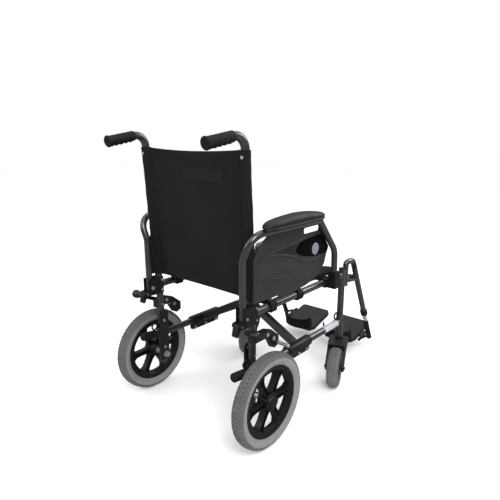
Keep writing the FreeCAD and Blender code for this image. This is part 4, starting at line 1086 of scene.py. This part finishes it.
def build_floor():
    """White floor that reflections see as a darker sweep."""
    bpy.ops.mesh.primitive_plane_add(size=24, location=(0, 0, 0))
    floor = bpy.context.object
    floor.name = "floor"
    mat = bpy.data.materials.new("floor")
    mat.use_nodes = True
    tree = mat.node_tree
    shader = tree.nodes["Principled BSDF"]
    shader.inputs["Base Color"].default_value = WHITE
    shader.inputs["Roughness"].default_value = 0.9
    glossy = add(tree, "LightPath").outputs["Is Glossy Ray"]
    tree.links.new(mix(tree, glossy, WHITE, FLOOR_REFLECTED), shader.inputs["Base Color"])
    floor.data.materials.append(mat)


def build_world():
    """Even white light; reflections see it rise from dark low down to bright overhead."""
    world = bpy.data.worlds.new("w")
    bpy.context.scene.world = world
    world.use_nodes = True
    tree = world.node_tree
    background = tree.nodes["Background"]
    background.inputs["Color"].default_value = WHITE
    background.inputs["Strength"].default_value = 1.0
    glossy = add(tree, "LightPath").outputs["Is Glossy Ray"]
    coords = add(tree, "TexCoord").outputs["Generated"]
    height = add(tree, "SeparateXYZ", {0: coords}).outputs["Z"]
    bright = remap(tree, height, from_range=(0.3, 0.85), to_range=(0.1, 1.5))
    sky = mix(tree, glossy, (1, 1, 1, 1), grey(tree, bright))
    tree.links.new(sky, background.inputs["Color"])


def area_light(name, location, size, power):
    """Round area light aimed at the middle of the chair."""
    light = bpy.data.lights.new(name, "AREA")
    light.shape = "DISK"
    light.size = size
    light.energy = power
    obj = bpy.data.objects.new(name, light)
    COLLECTION.objects.link(obj)
    obj.location = location
    aim = Vector((0, 0, 0.5)) - Vector(location)
    obj.rotation_euler = aim.to_track_quat("-Z", "Y").to_euler()


def build_camera():
    """Looks down at the chair from behind its right side."""
    camera = bpy.data.cameras.new("cam")
    camera.lens = 33.63
    camera.sensor_width = 36.0
    obj = bpy.data.objects.new("cam", camera)
    COLLECTION.objects.link(obj)
    obj.location = (-1.0697, 1.3519, 0.9449)
    view = Vector((0.6320, -0.7363, -0.2418))
    obj.rotation_euler = view.to_track_quat("-Z", "Y").to_euler()
    bpy.context.scene.camera = obj


# ------------------------------------------------------------------ build
dress_frame()
build_back_panel()
build_back_patch()
build_back_sleeves()
build_seat()
build_seat_screws()
build_arm_pads()
build_grips()
build_heel_straps()
build_tyres()
build_guards()
build_fittings()
build_saddles()

build_floor()
build_world()
area_light("key", location=(-2.2, 1.6, 2.8), size=1.6, power=70)
area_light("fill", location=(1.8, 2.4, 1.8), size=2.0, power=25)
area_light("rim", location=(-1.4, -2.6, 2.2), size=1.8, power=40)
build_camera()
bpy.context.scene.view_settings.view_transform = "Standard"
bpy.context.scene.view_settings.look = "None"

# every CAD piece is shaded smooth between its sharp edges
for node in nodes.values():
    node.data.polygons.foreach_set("use_smooth", np.ones(len(node.data.polygons), bool))

bpy.context.view_layer.update()
